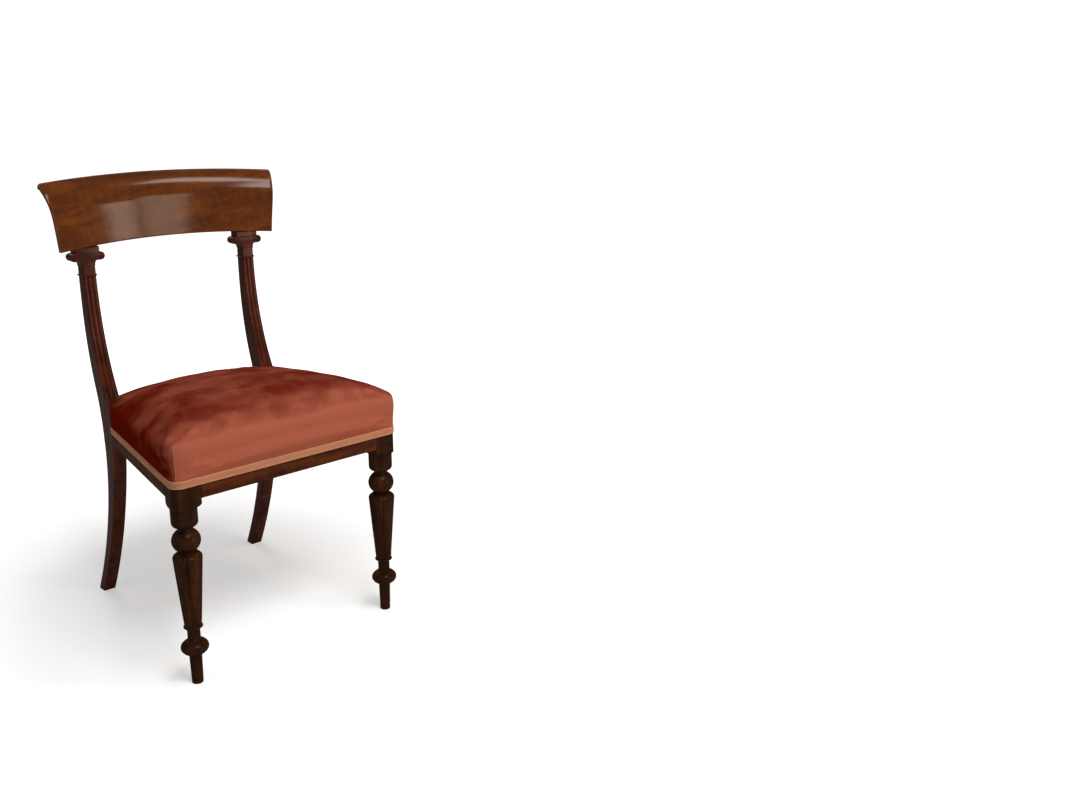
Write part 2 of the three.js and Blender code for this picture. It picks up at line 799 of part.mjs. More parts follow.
// Where a corner block sits: its corner, the two ways along the rails, and the ways into them
function cornerPlace(isFront) {
  const railFace = isFront ? frontFace + railThickness + jointGap : backRailFront - jointGap;
  const into = new THREE.Vector3(0, isFront ? -1 : 1, 0);
  const corner = new THREE.Vector3(sideFaceX(railFace, -railThickness - jointGap), railFace, 0);
  const alongSide = sideAlong.clone().multiplyScalar(isFront ? 1 : -1);
  const alongRail = acrossRight.clone().negate();
  const intoSide = sideInward.clone().negate();
  return { corner, ways: [[alongRail, into], [alongSide, intoSide]] };
}

const cornerBlockTop = railTop - cornerBlockDrop;
const cornerBlockLow = cornerBlockTop - cornerBlockHeight;

function cornerScrewStarts(isFront) {
  const { corner, ways } = cornerPlace(isFront);
  return ways.map(([along, into]) => {
    const start = corner.clone().addScaledVector(along, cornerBlockReach * (1 - screwPlaceShare));
    start.addScaledVector(into, screwBite - screwLength);
    return [start.setZ((cornerBlockLow + cornerBlockTop) / 2), into];
  });
}

function cornerBlock(isFront) {
  const { corner, ways } = cornerPlace(isFront);
  const ends = ways.map(([along]) => corner.clone().addScaledVector(along, cornerBlockReach));
  const shape = shapeOf([corner, ...ends].map((point) => [point.x, point.y]));
  let wood = raised(shape, cornerBlockLow, cornerBlockTop);
  const post = block(
    new THREE.Vector3(postInnerX - jointGap, seatFrameDepth - jointGap, railUnder),
    new THREE.Vector3(seatWidthFront, backRailBack, railTop),
  );
  wood = wood.subtract(isFront ? legBlock(jointGap) : post);
  for (const [start, into] of cornerScrewStarts(isFront)) {
    wood = wood.subtract(screw(start, into, jointGap)).subtract(screwPocket(start, into));
  }
  return wood;
}

// Rails with the pilot holes that the corner screws bite into
function withPilotHoles(rail, sides) {
  let drilled = rail;
  for (const isFront of [true, false]) {
    for (const [start, into] of cornerScrewStarts(isFront)) {
      const hole = screw(start, into, jointGap);
      for (const side of sides) {
        drilled = drilled.subtract(side > 0 ? hole : solidOf(geometryOf(hole, -1)));
      }
    }
  }
  return drilled;
}

// Heights of the layers above the rails
const webLow = railTop + jointGap + webThickness / 2;
const webRise = webThickness + jointGap;
const webTop = webLow + webRise + webThickness / 2;
const hessianLow = webTop + jointGap;
const stuffingLow = hessianLow + hessianThickness + jointGap;

// The side view of a web: low on the rails, over or under at each crossing, ends folded back
function webOutline(start, end, crossings) {
  const flat = webWidth / 2 + webCrossingMargin;
  const inner = [];
  for (const [place, isOver] of crossings) {
    const height = webLow + (isOver ? webRise : 0);
    inner.push([place - flat, height], [place + flat, height]);
  }
  const half = webThickness / 2;
  const under = inner.map(([s, z]) => [s, z - half]);
  const over = inner.map(([s, z]) => [s, z + half]).reverse();
  const foldUnder = webTop - webThickness;
  return shapeOf([
    [start, webLow - half],
    ...under,
    [end, webLow - half],
    [end, webTop],
    [end - webFoldLength, webTop],
    [end - webFoldLength, foldUnder],
    [end - webThickness, foldUnder],
    [end - webThickness, webLow + half],
    ...over,
    [start + webThickness, webLow + half],
    [start + webThickness, foldUnder],
    [start + webFoldLength, foldUnder],
    [start + webFoldLength, webTop],
    [start, webTop],
  ]);
}

const railsInsideY = frontFace + railThickness;
const webFrontY = frontFace + rebateDepth + webEdgeInset;
const webBackY = backRailBack - rebateDepth - webEdgeInset;

// How far along the seat the cross webs lie, evenly between the front and back rails
function crossWebY(index) {
  return railsInsideY + ((backRailFront - railsInsideY) * (index + 0.5)) / websEachWay;
}

// The long webs fan in towards the back, as shares of the clear width at each end
function longWebX(index, y) {
  const frontX = legInnerX * webPlaceShares[index];
  const backX = postInnerX * webPlaceShares[index];
  return frontX + ((backX - frontX) * (y - webFrontY)) / (webBackY - webFrontY);
}

function longWeb(index) {
  const from = new THREE.Vector3(longWebX(index, webFrontY), webFrontY, 0);
  const to = new THREE.Vector3(longWebX(index, webBackY), webBackY, 0);
  const direction = new THREE.Vector3().subVectors(to, from);
  const length = direction.length();
  direction.normalize();
  const crossings = webPlaceShares.map((_, cross) => {
    return [(crossWebY(cross) - webFrontY) / direction.y, (index + cross) % 2 === 0];
  });
  const right = direction.clone().cross(new THREE.Vector3(0, 0, 1));
  const start = from.addScaledVector(right, -webWidth / 2);
  return drawnOut(webOutline(0, length, crossings), direction, webWidth, start);
}

function crossWeb(index) {
  const y = crossWebY(index);
  const half = sideFaceX(y + webWidth / 2, -rebateDepth - webEdgeInset);
  const crossings = webPlaceShares.map((_, long) => {
    return [longWebX(long, y) + half, (index + long) % 2 === 1];
  });
  const start = new THREE.Vector3(-half, y + webWidth / 2, 0);
  return drawnOut(webOutline(0, 2 * half, crossings), acrossRight, webWidth, start);
}

// The seat in plan as a loop of points: under is the depth below the velvet's face, and swell
// pushes the front and sides out. The loop steps in round the back posts
function seatLoop(under, swell) {
  const radius = seatCornerRadius - under + swell;
  const tongueX = postInnerX - jointGap - under;
  const stepY = seatFrameDepth - jointGap - under;
  const backY = backRailBack - rebateDepth + coverStand - under + swell * backSwellShare;
  const half = [];
  const backSteps = 3;
  for (let i = 0; i < backSteps; i += 1) half.push([(tongueX * i) / backSteps, backY]);
  half.push([tongueX, backY], [tongueX, (backY + stepY) / 2], [tongueX, stepY]);
  const sideReach = seatCornerRadius - under;
  const length = (stepY - Math.sin(sideAngle) * sideReach - cornerY) / Math.cos(sideAngle);
  const sideSteps = 7;
  for (let i = sideSteps; i > 0; i -= 1) {
    const share = i / sideSteps;
    const stand = sideReach + swell * (1 - share ** swellFadePower);
    half.push([
      cornerX + sideAlong.x * length * share - sideInward.x * stand,
      cornerY + sideAlong.y * length * share - sideInward.y * stand,
    ]);
  }
  half.push(...frontCornerPoints(radius, 4));
  const frontSteps = 4;
  for (let i = frontSteps - 1; i >= 0; i -= 1) half.push([(cornerX * i) / frontSteps, cornerY - radius]);
  const other = half.slice(1, -1).map(([x, y]) => [-x, y]).reverse();
  return [...half, ...other];
}

// Height of the seat's top: an edge that sinks towards the back, and a crown over it that falls
// steeply to the front and sides and less to the back
function seatTopAt(x, y) {
  const frontY = cornerY - seatCornerRadius;
  const backY = backRailBack - rebateDepth + coverStand;
  const across = Math.min(1, Math.abs(x) / sideFaceX(y, coverStand - rebateDepth));
  const along = Math.min(1, Math.max(0, (y - frontY) / (backY - frontY)));
  const fall = along < crownFrontShare
    ? 1 - (1 - along / crownFrontShare) ** crownFrontPower
    : 1 - crownBackDropShare * ((along - crownFrontShare) / (1 - crownFrontShare)) ** 2;
  const edgeRise = seatFrontEdgeAboveRail + (seatBackEdgeAboveRail - seatFrontEdgeAboveRail) * along;
  return railTop + edgeRise + seatCrownRise * (1 - across ** crownSidePower) * fall;
}

const velvetHem = showTop + jointGap;
const swellLow = velvetHem + gimpHeight + gimpHeadroom;
const seatMiddleY = seatFrameDepth / 2;

// The stuffed seat as one closed form, its faces a given depth below the velvet's face
function seatForm(under, low) {
  const edge = seatLoop(under, 0);
  const topOf = (x, y) => seatTopAt(x, y) - under;
  const rings = [
    edge.map(([x, y]) => new THREE.Vector3(x, y, low)),
    edge.map(([x, y]) => new THREE.Vector3(x, y, swellLow)),
  ];
  wallHeightShares.forEach((heightShare, level) => {
    const loop = seatLoop(under, seatSwell * wallSwellShares[level]);
    rings.push(loop.map(([x, y], i) => {
      const top = topOf(edge[i][0], edge[i][1]);
      return new THREE.Vector3(x, y, swellLow + (top - swellLow) * heightShare);
    }));
  });
  for (const share of topRingShares) {
    rings.push(edge.map(([edgeX, edgeY]) => {
      const x = edgeX * share;
      const y = seatMiddleY + (edgeY - seatMiddleY) * share;
      return new THREE.Vector3(x, y, topOf(x, y));
    }));
  }
  return loftOf(rings.map((ring) => ring.reverse()));
}

function velvetCover() {
  const skin = seatForm(0, velvetHem).subtract(seatForm(velvetThickness, velvetHem - cutOverrun));
  return skin.subtract(raised(frameFootprint(jointGap / 2), velvetHem - cutOverrun, stuffingLow));
}

function stuffing() {
  const whole = seatForm(coverStand, velvetHem);
  const reach = seatWidthFront + seatFrameDepth;
  return whole.subtract(block(
    new THREE.Vector3(-reach, -reach, 0),
    new THREE.Vector3(reach, reach, stuffingLow),
  ));
}

function hessian() {
  const loop = seatLoop(coverStand + hessianInset, 0);
  return raised(shapeOf(loop), hessianLow, hessianLow + hessianThickness);
}

// The gimp along the front and sides: an open band bent round the two front corners
function frontGimp() {
  const band = (stand) => {
    const radius = seatCornerRadius + stand;
    const endY = seatFrameDepth - jointGap;
    const x = sideFaceX(endY, coverStand - rebateDepth + stand);
    const half = [[x, endY], ...frontCornerPoints(radius, 6)];
    return [...half, ...half.map(([px, py]) => [-px, py]).reverse()];
  };
  const shape = shapeOf([...band(jointGap + gimpThickness), ...band(jointGap).reverse()]);
  return raised(shape, velvetHem, velvetHem + gimpHeight);
}

function backGimp() {
  const face = backRailBack - rebateDepth + coverStand + jointGap;
  const half = postInnerX - jointGap;
  return block(
    new THREE.Vector3(-half, face, velvetHem),
    new THREE.Vector3(half, face + gimpThickness, velvetHem + gimpHeight),
  );
}

addPiece('crest_rail', crestRail(), mahogany);
addPair('back_post', backPost(), darkMahogany);
addPair('front_leg', frontLeg(), darkMahogany);
addPiece('front_seat_rail', withPilotHoles(frontRail(), [1, -1]), mahogany);
addPiece('back_seat_rail', withPilotHoles(backRail(), [1, -1]), mahogany);
addPair('side_seat_rail', withPilotHoles(sideRail(), [1]), mahogany);
for (const [end, isFront] of [['front', true], ['back', false]]) {
  addPair(`corner_block_${end}`, cornerBlock(isFront), beech);
  cornerScrewStarts(isFront).forEach(([start, into], index) => {
    const rail = index === 0 ? end : 'side';
    addPair(`corner_screw_${end}_into_${rail}_rail`, screw(start, into, 0), steel);
  });
}
for (let i = 0; i < websEachWay; i += 1) {
  addPiece(`web_lengthways_${i + 1}`, longWeb(i), jute);
  addPiece(`web_crossways_${i + 1}`, crossWeb(i), jute);
}
addPiece('hessian_base', hessian(), jute);
addPiece('seat_stuffing', stuffing(), horsehair);
addPiece('velvet_cover', velvetCover(), velvet);
addPiece('gimp_front_and_sides', frontGimp(), gimp);
addPiece('gimp_back', backGimp(), gimp);

// The origin is on the floor, at the middle of the chair's length from seat front to back feet
const frontReach = cornerY - seatCornerRadius - seatSwell;
const backReach = footMiddleY + footDepth / 2;
chair.position.y = -(frontReach + backReach) / 2;

export default chair;
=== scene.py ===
# %% [markdown]
# # A bar-back dining chair, dressed
# The chair's solids come from CAD as a fixed frame: crest rail, back posts, turned front legs,
# seat rails, webbing and stuffing, each one a named node. This lesson gives them their finish.
# Flat wooden parts keep their CAD mesh and only get a material. Curved, polished and soft parts
# are made again as fine surfaces, computed with numpy in the same places, because a polished
# curve shows every facet and cloth shows every fold.

import math

import bmesh
import bpy
import numpy as np
from mathutils import Matrix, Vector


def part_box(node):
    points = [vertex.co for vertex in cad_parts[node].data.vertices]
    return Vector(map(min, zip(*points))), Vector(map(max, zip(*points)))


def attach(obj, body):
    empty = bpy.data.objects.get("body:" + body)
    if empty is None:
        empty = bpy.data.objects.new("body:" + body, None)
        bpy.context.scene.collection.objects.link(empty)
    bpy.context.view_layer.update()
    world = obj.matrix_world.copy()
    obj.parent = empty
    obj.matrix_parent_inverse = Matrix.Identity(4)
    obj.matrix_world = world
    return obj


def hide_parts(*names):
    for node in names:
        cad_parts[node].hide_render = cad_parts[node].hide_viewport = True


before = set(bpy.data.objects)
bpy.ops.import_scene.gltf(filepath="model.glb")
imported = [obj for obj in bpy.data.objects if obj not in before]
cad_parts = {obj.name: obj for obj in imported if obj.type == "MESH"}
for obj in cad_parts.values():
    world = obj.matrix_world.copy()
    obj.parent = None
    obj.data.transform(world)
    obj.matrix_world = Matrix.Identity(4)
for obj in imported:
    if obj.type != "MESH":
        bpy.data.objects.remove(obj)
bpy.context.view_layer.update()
MM = 0.001
leg_low, leg_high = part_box("front_leg_left")
SEAT_LINE = (leg_low.y + leg_high.y) / 2
print(len(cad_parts), "nodes; the front legs' axes lie at y =", round(SEAT_LINE, 5))

# %% [markdown]
# ## Camera
# The camera stands where the photograph was taken: to the sitter's right, a little over a metre
# high. Its turn, pitch and roll were fitted so that the chair's corners fall on their places in
# the picture. A lens shift could copy the picture's framing exactly, but it would push the chair
# out of other views, so only a small one is used.

# %% Camera
CAMERA_PLACE = (-0.9629, SEAT_LINE - 1.6905, 1.0605)
CAMERA_TURN, CAMERA_PITCH, CAMERA_ROLL = 0.75885, 0.25334, 0.00395
CAMERA_LENS, SENSOR_WIDTH = 36.24, 36
CAMERA_SHIFT = -0.04


def new_object(name, data):
    """An object for some data, put into the scene."""
    made = bpy.data.objects.new(name, data)
    bpy.context.scene.collection.objects.link(made)
    return made


def camera_axes(turn, pitch, roll):
    """Right, up and backward directions: turned from +Y towards +X, then pitched down and rolled."""
    ahead = np.array([math.sin(turn) * math.cos(pitch), math.cos(turn) * math.cos(pitch), -math.sin(pitch)])
    level = np.array([math.cos(turn), -math.sin(turn), 0.0])
    over = np.cross(level, ahead)
    right = level * math.cos(roll) + over * math.sin(roll)
    up = over * math.cos(roll) - level * math.sin(roll)
    return np.stack([right, up, -ahead], axis=1)


camera_data = bpy.data.cameras.new("camera")
camera_data.sensor_width = SENSOR_WIDTH
camera_data.lens = CAMERA_LENS
camera_data.shift_y = CAMERA_SHIFT
camera_data.clip_start = 0.05
camera = new_object("camera", camera_data)
turned_axes = Matrix(camera_axes(CAMERA_TURN, CAMERA_PITCH, CAMERA_ROLL).tolist())
camera.matrix_world = Matrix.Translation(CAMERA_PLACE) @ turned_axes.to_4x4()
bpy.context.scene.camera = camera
print("camera at", [round(v, 3) for v in camera.location])

# %% [markdown]
# ## Small helpers
# Every material below is a graph of shader nodes. One helper adds a node, sets its options, fills
# its sockets and joins it to others, so that a graph reads like a list. The next ones wrap the
# nodes that most materials share: sums and products, noise, ramps, and the surface at the end.
# Colours are written as sRGB hex values, as a paint chart gives them, and one function makes
# them linear.


# %% Helpers for materials
def colour(hex_value):
    """sRGB hex to linear RGBA: channel / 12.92 up to 0.04045, else ((channel + 0.055) / 1.055) ** 2.4."""
    channels = np.array([int(hex_value[i:i + 2], 16) / 255 for i in (1, 3, 5)])
    linear = np.where(channels <= 0.04045, channels / 12.92, ((channels + 0.055) / 1.055) ** 2.4)
    return (*linear.tolist(), 1.0)


def add_node(tree, kind, values=None, links=None, **options):
    """Adds a shader node: options are its settings, values fill its sockets, links join outputs to them."""
    made = tree.nodes.new(kind)
    for name, value in options.items():
        setattr(made, name, value)
    for name, value in (values or {}).items():
        made.inputs[name].default_value = value
    for name, socket in (links or {}).items():
        tree.links.new(socket, made.inputs[name])
    return made


def new_material(name):
    """An empty node material and its tree."""
    material = bpy.data.materials.new(name)
    material.use_nodes = True
    material.node_tree.nodes.clear()
    return material, material.node_tree


def object_place(tree):
    """The point's place in the piece's own coordinates, in metres."""
    return add_node(tree, "ShaderNodeTexCoord").outputs["Object"]


def stored_value(tree, name):
    """A number that the mesh stores on each point."""
    return add_node(tree, "ShaderNodeAttribute", attribute_name=name).outputs["Fac"]


def maths(tree, operation, *operands, **options):
    """One sum, product or comparison; an operand is a number or a socket."""
    made = add_node(tree, "ShaderNodeMath", operation=operation, **options)
    for socket, given in zip(made.inputs, operands):
        if isinstance(given, bpy.types.NodeSocket):
            tree.links.new(given, socket)
        else:
            socket.default_value = given
    return made.outputs[0]


def ramp(tree, factor, stops):
    """A colour ramp of (place, hex colour) stops, read at a factor."""
    made = add_node(tree, "ShaderNodeValToRGB", links={"Fac": factor})
    elements = made.color_ramp.elements
    while len(elements) < len(stops):
        elements.new(1.0)
    for element, (place, hex_value) in zip(elements, stops):
        element.position = place
        element.color = colour(hex_value)
    return made.outputs["Color"]


def span(tree, value, low, high, to_low=0.0, to_high=1.0):
    """Maps a value from one range to another, clamped at both ends."""
    made = add_node(tree, "ShaderNodeMapRange", {1: low, 2: high, 3: to_low, 4: to_high}, {0: value})
    return made.outputs[0]


def blend_colours(tree, factor, first, second):
    """Mixes two colours by a factor; a colour may be a hex value or a socket."""
    made = add_node(tree, "ShaderNodeMix", data_type="RGBA")
    for socket, given in ((made.inputs[0], factor), (made.inputs[6], first), (made.inputs[7], second)):
        if isinstance(given, bpy.types.NodeSocket):
            tree.links.new(given, socket)
        else:
            socket.default_value = colour(given) if isinstance(given, str) else given
    return made.outputs[2]


def stretched(tree, place, grain, across, along_share):
    """Noise coordinates: features per metre across the grain, fewer along it by a share."""
    scale = [across, across, across]
    scale[grain] = across * along_share
    return add_node(tree, "ShaderNodeMapping", {"Scale": scale}, {"Vector": place}).outputs["Vector"]


def noise(tree, vector, detail, rough, distortion=0.0):
    """Noise read at ready-scaled coordinates."""
    values = {"Scale": 1.0, "Detail": detail, "Roughness": rough, "Distortion": distortion}
    return add_node(tree, "ShaderNodeTexNoise", values, {"Vector": vector}).outputs["Fac"]


def finish_material(tree, values, links, height=None, strength=0.0, distance=0.0):
    """A surface of the given values and links, bumped by a height if there is one, as the output."""
    if height is not None:
        bump_values = {"Strength": strength, "Distance": distance}
        bump = add_node(tree, "ShaderNodeBump", bump_values, {"Height": height})
        links = {**links, "Normal": bump.outputs["Normal"]}
    surface = add_node(tree, "ShaderNodeBsdfPrincipled", values, links)
    add_node(tree, "ShaderNodeOutputMaterial", links={"Surface": surface.outputs[0]})


# %% [markdown]
# ## Floor, background and light
# The chair stands on a plain white floor. The floor is a pale diffuse surface that takes the
# chair's shadow; what the camera sees of it is lifted to white by a glow that only camera, glossy
# and transmission rays meet, so no extra light falls on the chair. The glow is faint by the chair,
# to keep the shadow, and full far away, to hide the horizon. Glossy rays meet less of it, or white
# would veil the dark polish. Most light comes from a large soft lamp high in front. Two tall lamps
# stand for windows, which the crest mirrors in its lower half, and a small high one gives the
# streak along its roll. Weak fills from behind and from the left keep those sides readable.

# %% Floor and world
FLOOR_HALF = 12.0
WORLD_LIGHT = 0.16
FLOOR_GLOW = 0.36
GLOW_STARTS, GLOW_FULL_AT = 0.4, 1.7
GLOSSY_SHARE = 0.2


def seen_directly(tree):
    """1 for rays from the camera or through clear things, a smaller share off glossy ones, else 0."""
    path = add_node(tree, "ShaderNodeLightPath").outputs
    glossy = maths(tree, "MULTIPLY", path["Is Glossy Ray"], GLOSSY_SHARE)
    shiny = maths(tree, "MAXIMUM", glossy, path["Is Transmission Ray"])
    return maths(tree, "MAXIMUM", shiny, path["Is Camera Ray"])


floor_material, tree = new_material("painted_studio_floor")
distance = add_node(tree, "ShaderNodeVectorMath", links={0: object_place(tree)}, operation="LENGTH")
far_glow = span(tree, distance.outputs["Value"], GLOW_STARTS, GLOW_FULL_AT, FLOOR_GLOW, 1.0)
glow = maths(tree, "MULTIPLY", seen_directly(tree), far_glow)
finish_material(tree, {"Base Color": colour("#e0e0e1"), "Roughness": 0.9, "Specular IOR Level": 0.0,
                       "Emission Color": colour("#ffffff")}, {"Emission Strength": glow})

floor_mesh = bpy.data.meshes.new("floor")
corners = FLOOR_HALF * np.array([[-1, -1, 0], [1, -1, 0], [1, 1, 0], [-1, 1, 0]])
floor_mesh.from_pydata(corners.tolist(), [], [[0, 1, 2, 3]])
floor_mesh.materials.append(floor_material)
floor = new_object("floor", floor_mesh)

world = bpy.data.worlds.new("pale_room")
bpy.context.scene.world = world
world.use_nodes = True
tree = world.node_tree
tree.nodes.clear()
strength = span(tree, seen_directly(tree), 0, 1, WORLD_LIGHT, 1.0)
room = add_node(tree, "ShaderNodeBackground", {"Color": (1, 1, 1, 1)}, {"Strength": strength})
add_node(tree, "ShaderNodeOutputWorld", links={"Surface": room.outputs[0]})
bpy.context.scene.view_settings.view_transform = "Standard"
print("floor", 2 * FLOOR_HALF, "m wide")

# %% Lamps
CHAIR_MIDDLE = np.array([0.0, 0.0, 0.45])
WARM, AMBER, NEUTRAL = (1.0, 0.92, 0.83), (1.0, 0.84, 0.68), (1.0, 1.0, 1.0)


def soft_lamp(name, place, size, watts, tint):
    """An area lamp at a place, turned to face the middle of the chair."""
    data = bpy.data.lights.new(name, "AREA")
    data.shape = "RECTANGLE"
    data.size, data.size_y = size
    data.energy = watts
    data.color = tint
    lamp = new_object(name, data)
    away = np.array(place) - CHAIR_MIDDLE
    back = away / np.linalg.norm(away)
    side = np.cross([0.0, 0.0, 1.0], back)
    side /= np.linalg.norm(side)
    turn = Matrix(np.stack([side, np.cross(back, side), back], axis=1).tolist())
    lamp.matrix_world = Matrix.Translation(place) @ turn.to_4x4()
    lamp.visible_camera = False


LAMPS = (
    ("window_near", (1.32, -2.75, 0.85), (0.58, 1.5), 17, AMBER),
    ("window_far", (2.02, -2.75, 0.7), (0.42, 1.15), 14, AMBER),
    ("high_window", (0.88, -1.3, 2.85), (0.62, 0.4), 12, WARM),
    ("key", (-0.05, -2.0, 2.8), (1.4, 1.0), 68, NEUTRAL),
    ("rear_fill", (0.3, 2.7, 2.3), (1.6, 1.2), 22, NEUTRAL),
    ("left_fill", (-2.8, -0.3, 1.5), (1.6, 1.6), 10, WARM),
)
for lamp_facts in LAMPS:
    soft_lamp(*lamp_facts)
print(len(LAMPS), "lamps")

# %% [markdown]
# ## Surfaces from grids
# A carved or turned piece is a loft: a row of closed rings, each computed at once as an array.
# Points are worked out in millimetres, with y measured back from the line of the front legs'
# axes, and turned into metres in the frame only when the mesh is made. The loft's ends are
# closed by one face each or, where a face would span a hollow, by zipping one half of the last
# ring to the other half.


# %% Helpers for meshes
def in_frame(points):
    """Millimetres, with y from the front legs' line, to metres in the frame."""
    return np.asarray(points, float).reshape(-1, 3) * MM + np.array([0.0, SEAT_LINE, 0.0])


def mix(start, end, share):
    """From start at a share of 0 to end at 1: start + (end - start) * share."""
    return start + (end - start) * share


def between(value, start, end):
    """0 up to start, 1 from end on, and (value - start) / (end - start) from one to the other."""
    return np.clip((value - start) / (end - start), 0, 1)


def quarter_turn(count):
    """Even angles from 0 to a right angle."""
    return np.linspace(0, math.pi / 2, count)


def fall(t):
    """How far a unit circle has fallen from its top at a distance t beside it: 1 - sqrt(1 - t * t)."""
    return 1 - np.sqrt(np.maximum(0, 1 - t ** 2))


def path_lengths(points):
    """The distance along a path at each of its points."""
    return np.concatenate([[0], np.cumsum(np.linalg.norm(np.diff(points, axis=0), axis=1))])


def grid_faces(rows, columns, closed=True):
    """Quads of a grid: a point, its right neighbour and the two above; closed joins the last column on."""
    low = np.arange(rows - 1)[:, None] * columns
    left = np.arange(columns if closed else columns - 1)[None, :]
    right = (left + 1) % columns
    corners = [low + left, low + right, low + columns + right, low + columns + left]
    return np.stack(corners, axis=-1).reshape(-1, 4)


def zip_faces(start, count):
    """Quads that close a ring of an even count: points k and k + 1 join their partners from the end."""
    k = np.arange(count // 2 - 1)
    return start + np.stack([k, k + 1, count - 2 - k, count - 1 - k], axis=-1)


def loft(rings, zipped=False):
    """Points and faces of a skin through rings of shape (rows, columns, 3), closed at both ends."""
    rows, columns, _ = rings.shape
    faces = grid_faces(rows, columns).tolist()
    last = (rows - 1) * columns
    if zipped:
        faces += zip_faces(0, columns).tolist() + zip_faces(last, columns).tolist()
    else:
        faces += [list(range(columns)), list(range(last, last + columns))]
    return rings.reshape(-1, 3), faces


def mirrored(shell):
    """The same shell on the chair's other side: x changes sign."""
    points, faces = shell
    return points * np.array([-1.0, 1.0, 1.0]), faces


def along(origin, across, up, out):
    """A function that puts local coordinates (across, up, out) into the chair."""
    axes = np.array([across, up, out], float)
    return lambda local: np.asarray(origin, float) + np.asarray(local, float) @ axes


def inset_loop(loop, distance):
    """A closed plane loop moved inwards: each point goes against the mean normal of its two edges."""
    step = np.roll(loop, -1, axis=0) - np.roll(loop, 1, axis=0)
    normal = np.stack([step[:, 1], -step[:, 0]], axis=1)
    normal /= np.linalg.norm(normal, axis=1, keepdims=True)
    return loop - normal * distance


def eased_prism(loop, length, ease, steps=3):
    """An outline drawn out, its rims rounded: inset ease * (1 - sin t) at a depth ease * (1 - cos t)."""
    turn = quarter_turn(steps + 1)
    insets = ease * (1 - np.sin(turn))
    depths = ease * (1 - np.cos(turn))
    inset = np.concatenate([insets, insets[::-1]])
    depth = np.concatenate([depths, length - depths[::-1]])
    rings = [np.column_stack([inset_loop(loop, i), np.full(len(loop), d)]) for i, d in zip(inset, depth)]
    return np.array(rings)


def smooth(mesh):
    """Shades every face smooth."""
    mesh.polygons.foreach_set("use_smooth", np.ones(len(mesh.polygons), bool))


def dress(piece, node):
    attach(piece, "root")
    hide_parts(node)


def make_piece(name, shells, material, node, sharp=40):
    """One object from shells: doubles merged, faces turned outwards, smooth below the sharp angle."""
    mesh = bpy.data.meshes.new(name)
    bm = bmesh.new()
    for points, faces in shells:
        part = bpy.data.meshes.new("part")
        part.from_pydata(in_frame(points).tolist(), [], faces)
        bm.from_mesh(part)
        bpy.data.meshes.remove(part)
    bmesh.ops.remove_doubles(bm, verts=bm.verts, dist=1e-6)
    bmesh.ops.recalc_face_normals(bm, faces=bm.faces)
    bm.to_mesh(mesh)
    bm.free()
    smooth(mesh)
    mesh.set_sharp_from_angle(angle=math.radians(sharp))
    mesh.materials.append(material)
    piece = new_object(name, mesh)
    dress(piece, node)
    print(name, len(mesh.polygons), "faces")
    return piece


def make_pair(name, shells, material, node):
    """The piece of the +X side, which is the sitter's left, and its mirror image on the right."""
    for side, parts in (("left", shells), ("right", [mirrored(shell) for shell in shells])):
        make_piece(name.format(side), parts, material, node.format(side))


# %% [markdown]
# ## Mahogany, French polished
# Mahogany is a reddish brown wood with fine dark pores and a ripple that seems to move under the
# polish. French polish is many thin coats of shellac: a clear, smooth film over a rougher wood.
# So the material is a dull brown base, striped along the grain, under a thin clear coat. The
# pattern is noise stretched along the grain: broad bands for the figure, narrow ones for the
# fibres, and short dark dashes for the pores. Pores are 0.2 mm wide in life and are drawn 0.5 mm
# wide, or they wouldn't show. The old base of stained legs and posts is darker than the crest.


# %% Mahogany
SHELLAC_IOR = 1.5


def mahogany(name, grain, tones, polish, figure=55.0, tilt=(0.0, 0.0, 0.0)):
    """Polished mahogany with its grain along axis 0, 1 or 2.

    Tones are a dark, a middle and a light hex value; polish is the roughness and the weight of the
    coat; figure counts the broad bands in a metre; tilt turns the grain, in radians.
    """
    material, tree = new_material(name)
    turned = add_node(tree, "ShaderNodeMapping", {"Rotation": tilt}, {"Vector": object_place(tree)})
    place = turned.outputs["Vector"]
    bands = noise(tree, stretched(tree, place, grain, figure, 0.13), 4, 0.55, 0.35)
    fibres = noise(tree, stretched(tree, place, grain, 620, 0.025), 2, 0.6)
    ripple = noise(tree, stretched(tree, place, grain, 26, 3.2), 1, 0.4, 0.6)
    dark, middle, light = tones
    base = ramp(tree, bands, [(0.3, dark), (0.52, middle), (0.72, light)])
    base = blend_colours(tree, span(tree, fibres, 0.35, 0.68, 0.0, 0.34), base, dark)
    base = blend_colours(tree, span(tree, ripple, 0.42, 0.7, 0.0, 0.25), base, light)
    pores = noise(tree, stretched(tree, place, grain, 900, 0.09), 0, 0.5)
    base = blend_colours(tree, span(tree, pores, 0.66, 0.72, 0.0, 0.55), base, "#1c0c06")
    rough = span(tree, fibres, 0.3, 0.7, 0.34, 0.46)
    coat_rough, coat = polish
    finish_material(tree, {"IOR": SHELLAC_IOR, "Specular IOR Level": 0.0, "Coat Weight": coat,
                           "Coat IOR": SHELLAC_IOR, "Coat Roughness": coat_rough},
                    {"Base Color": base, "Roughness": rough}, fibres, 0.12, 0.3 * MM)
    return material


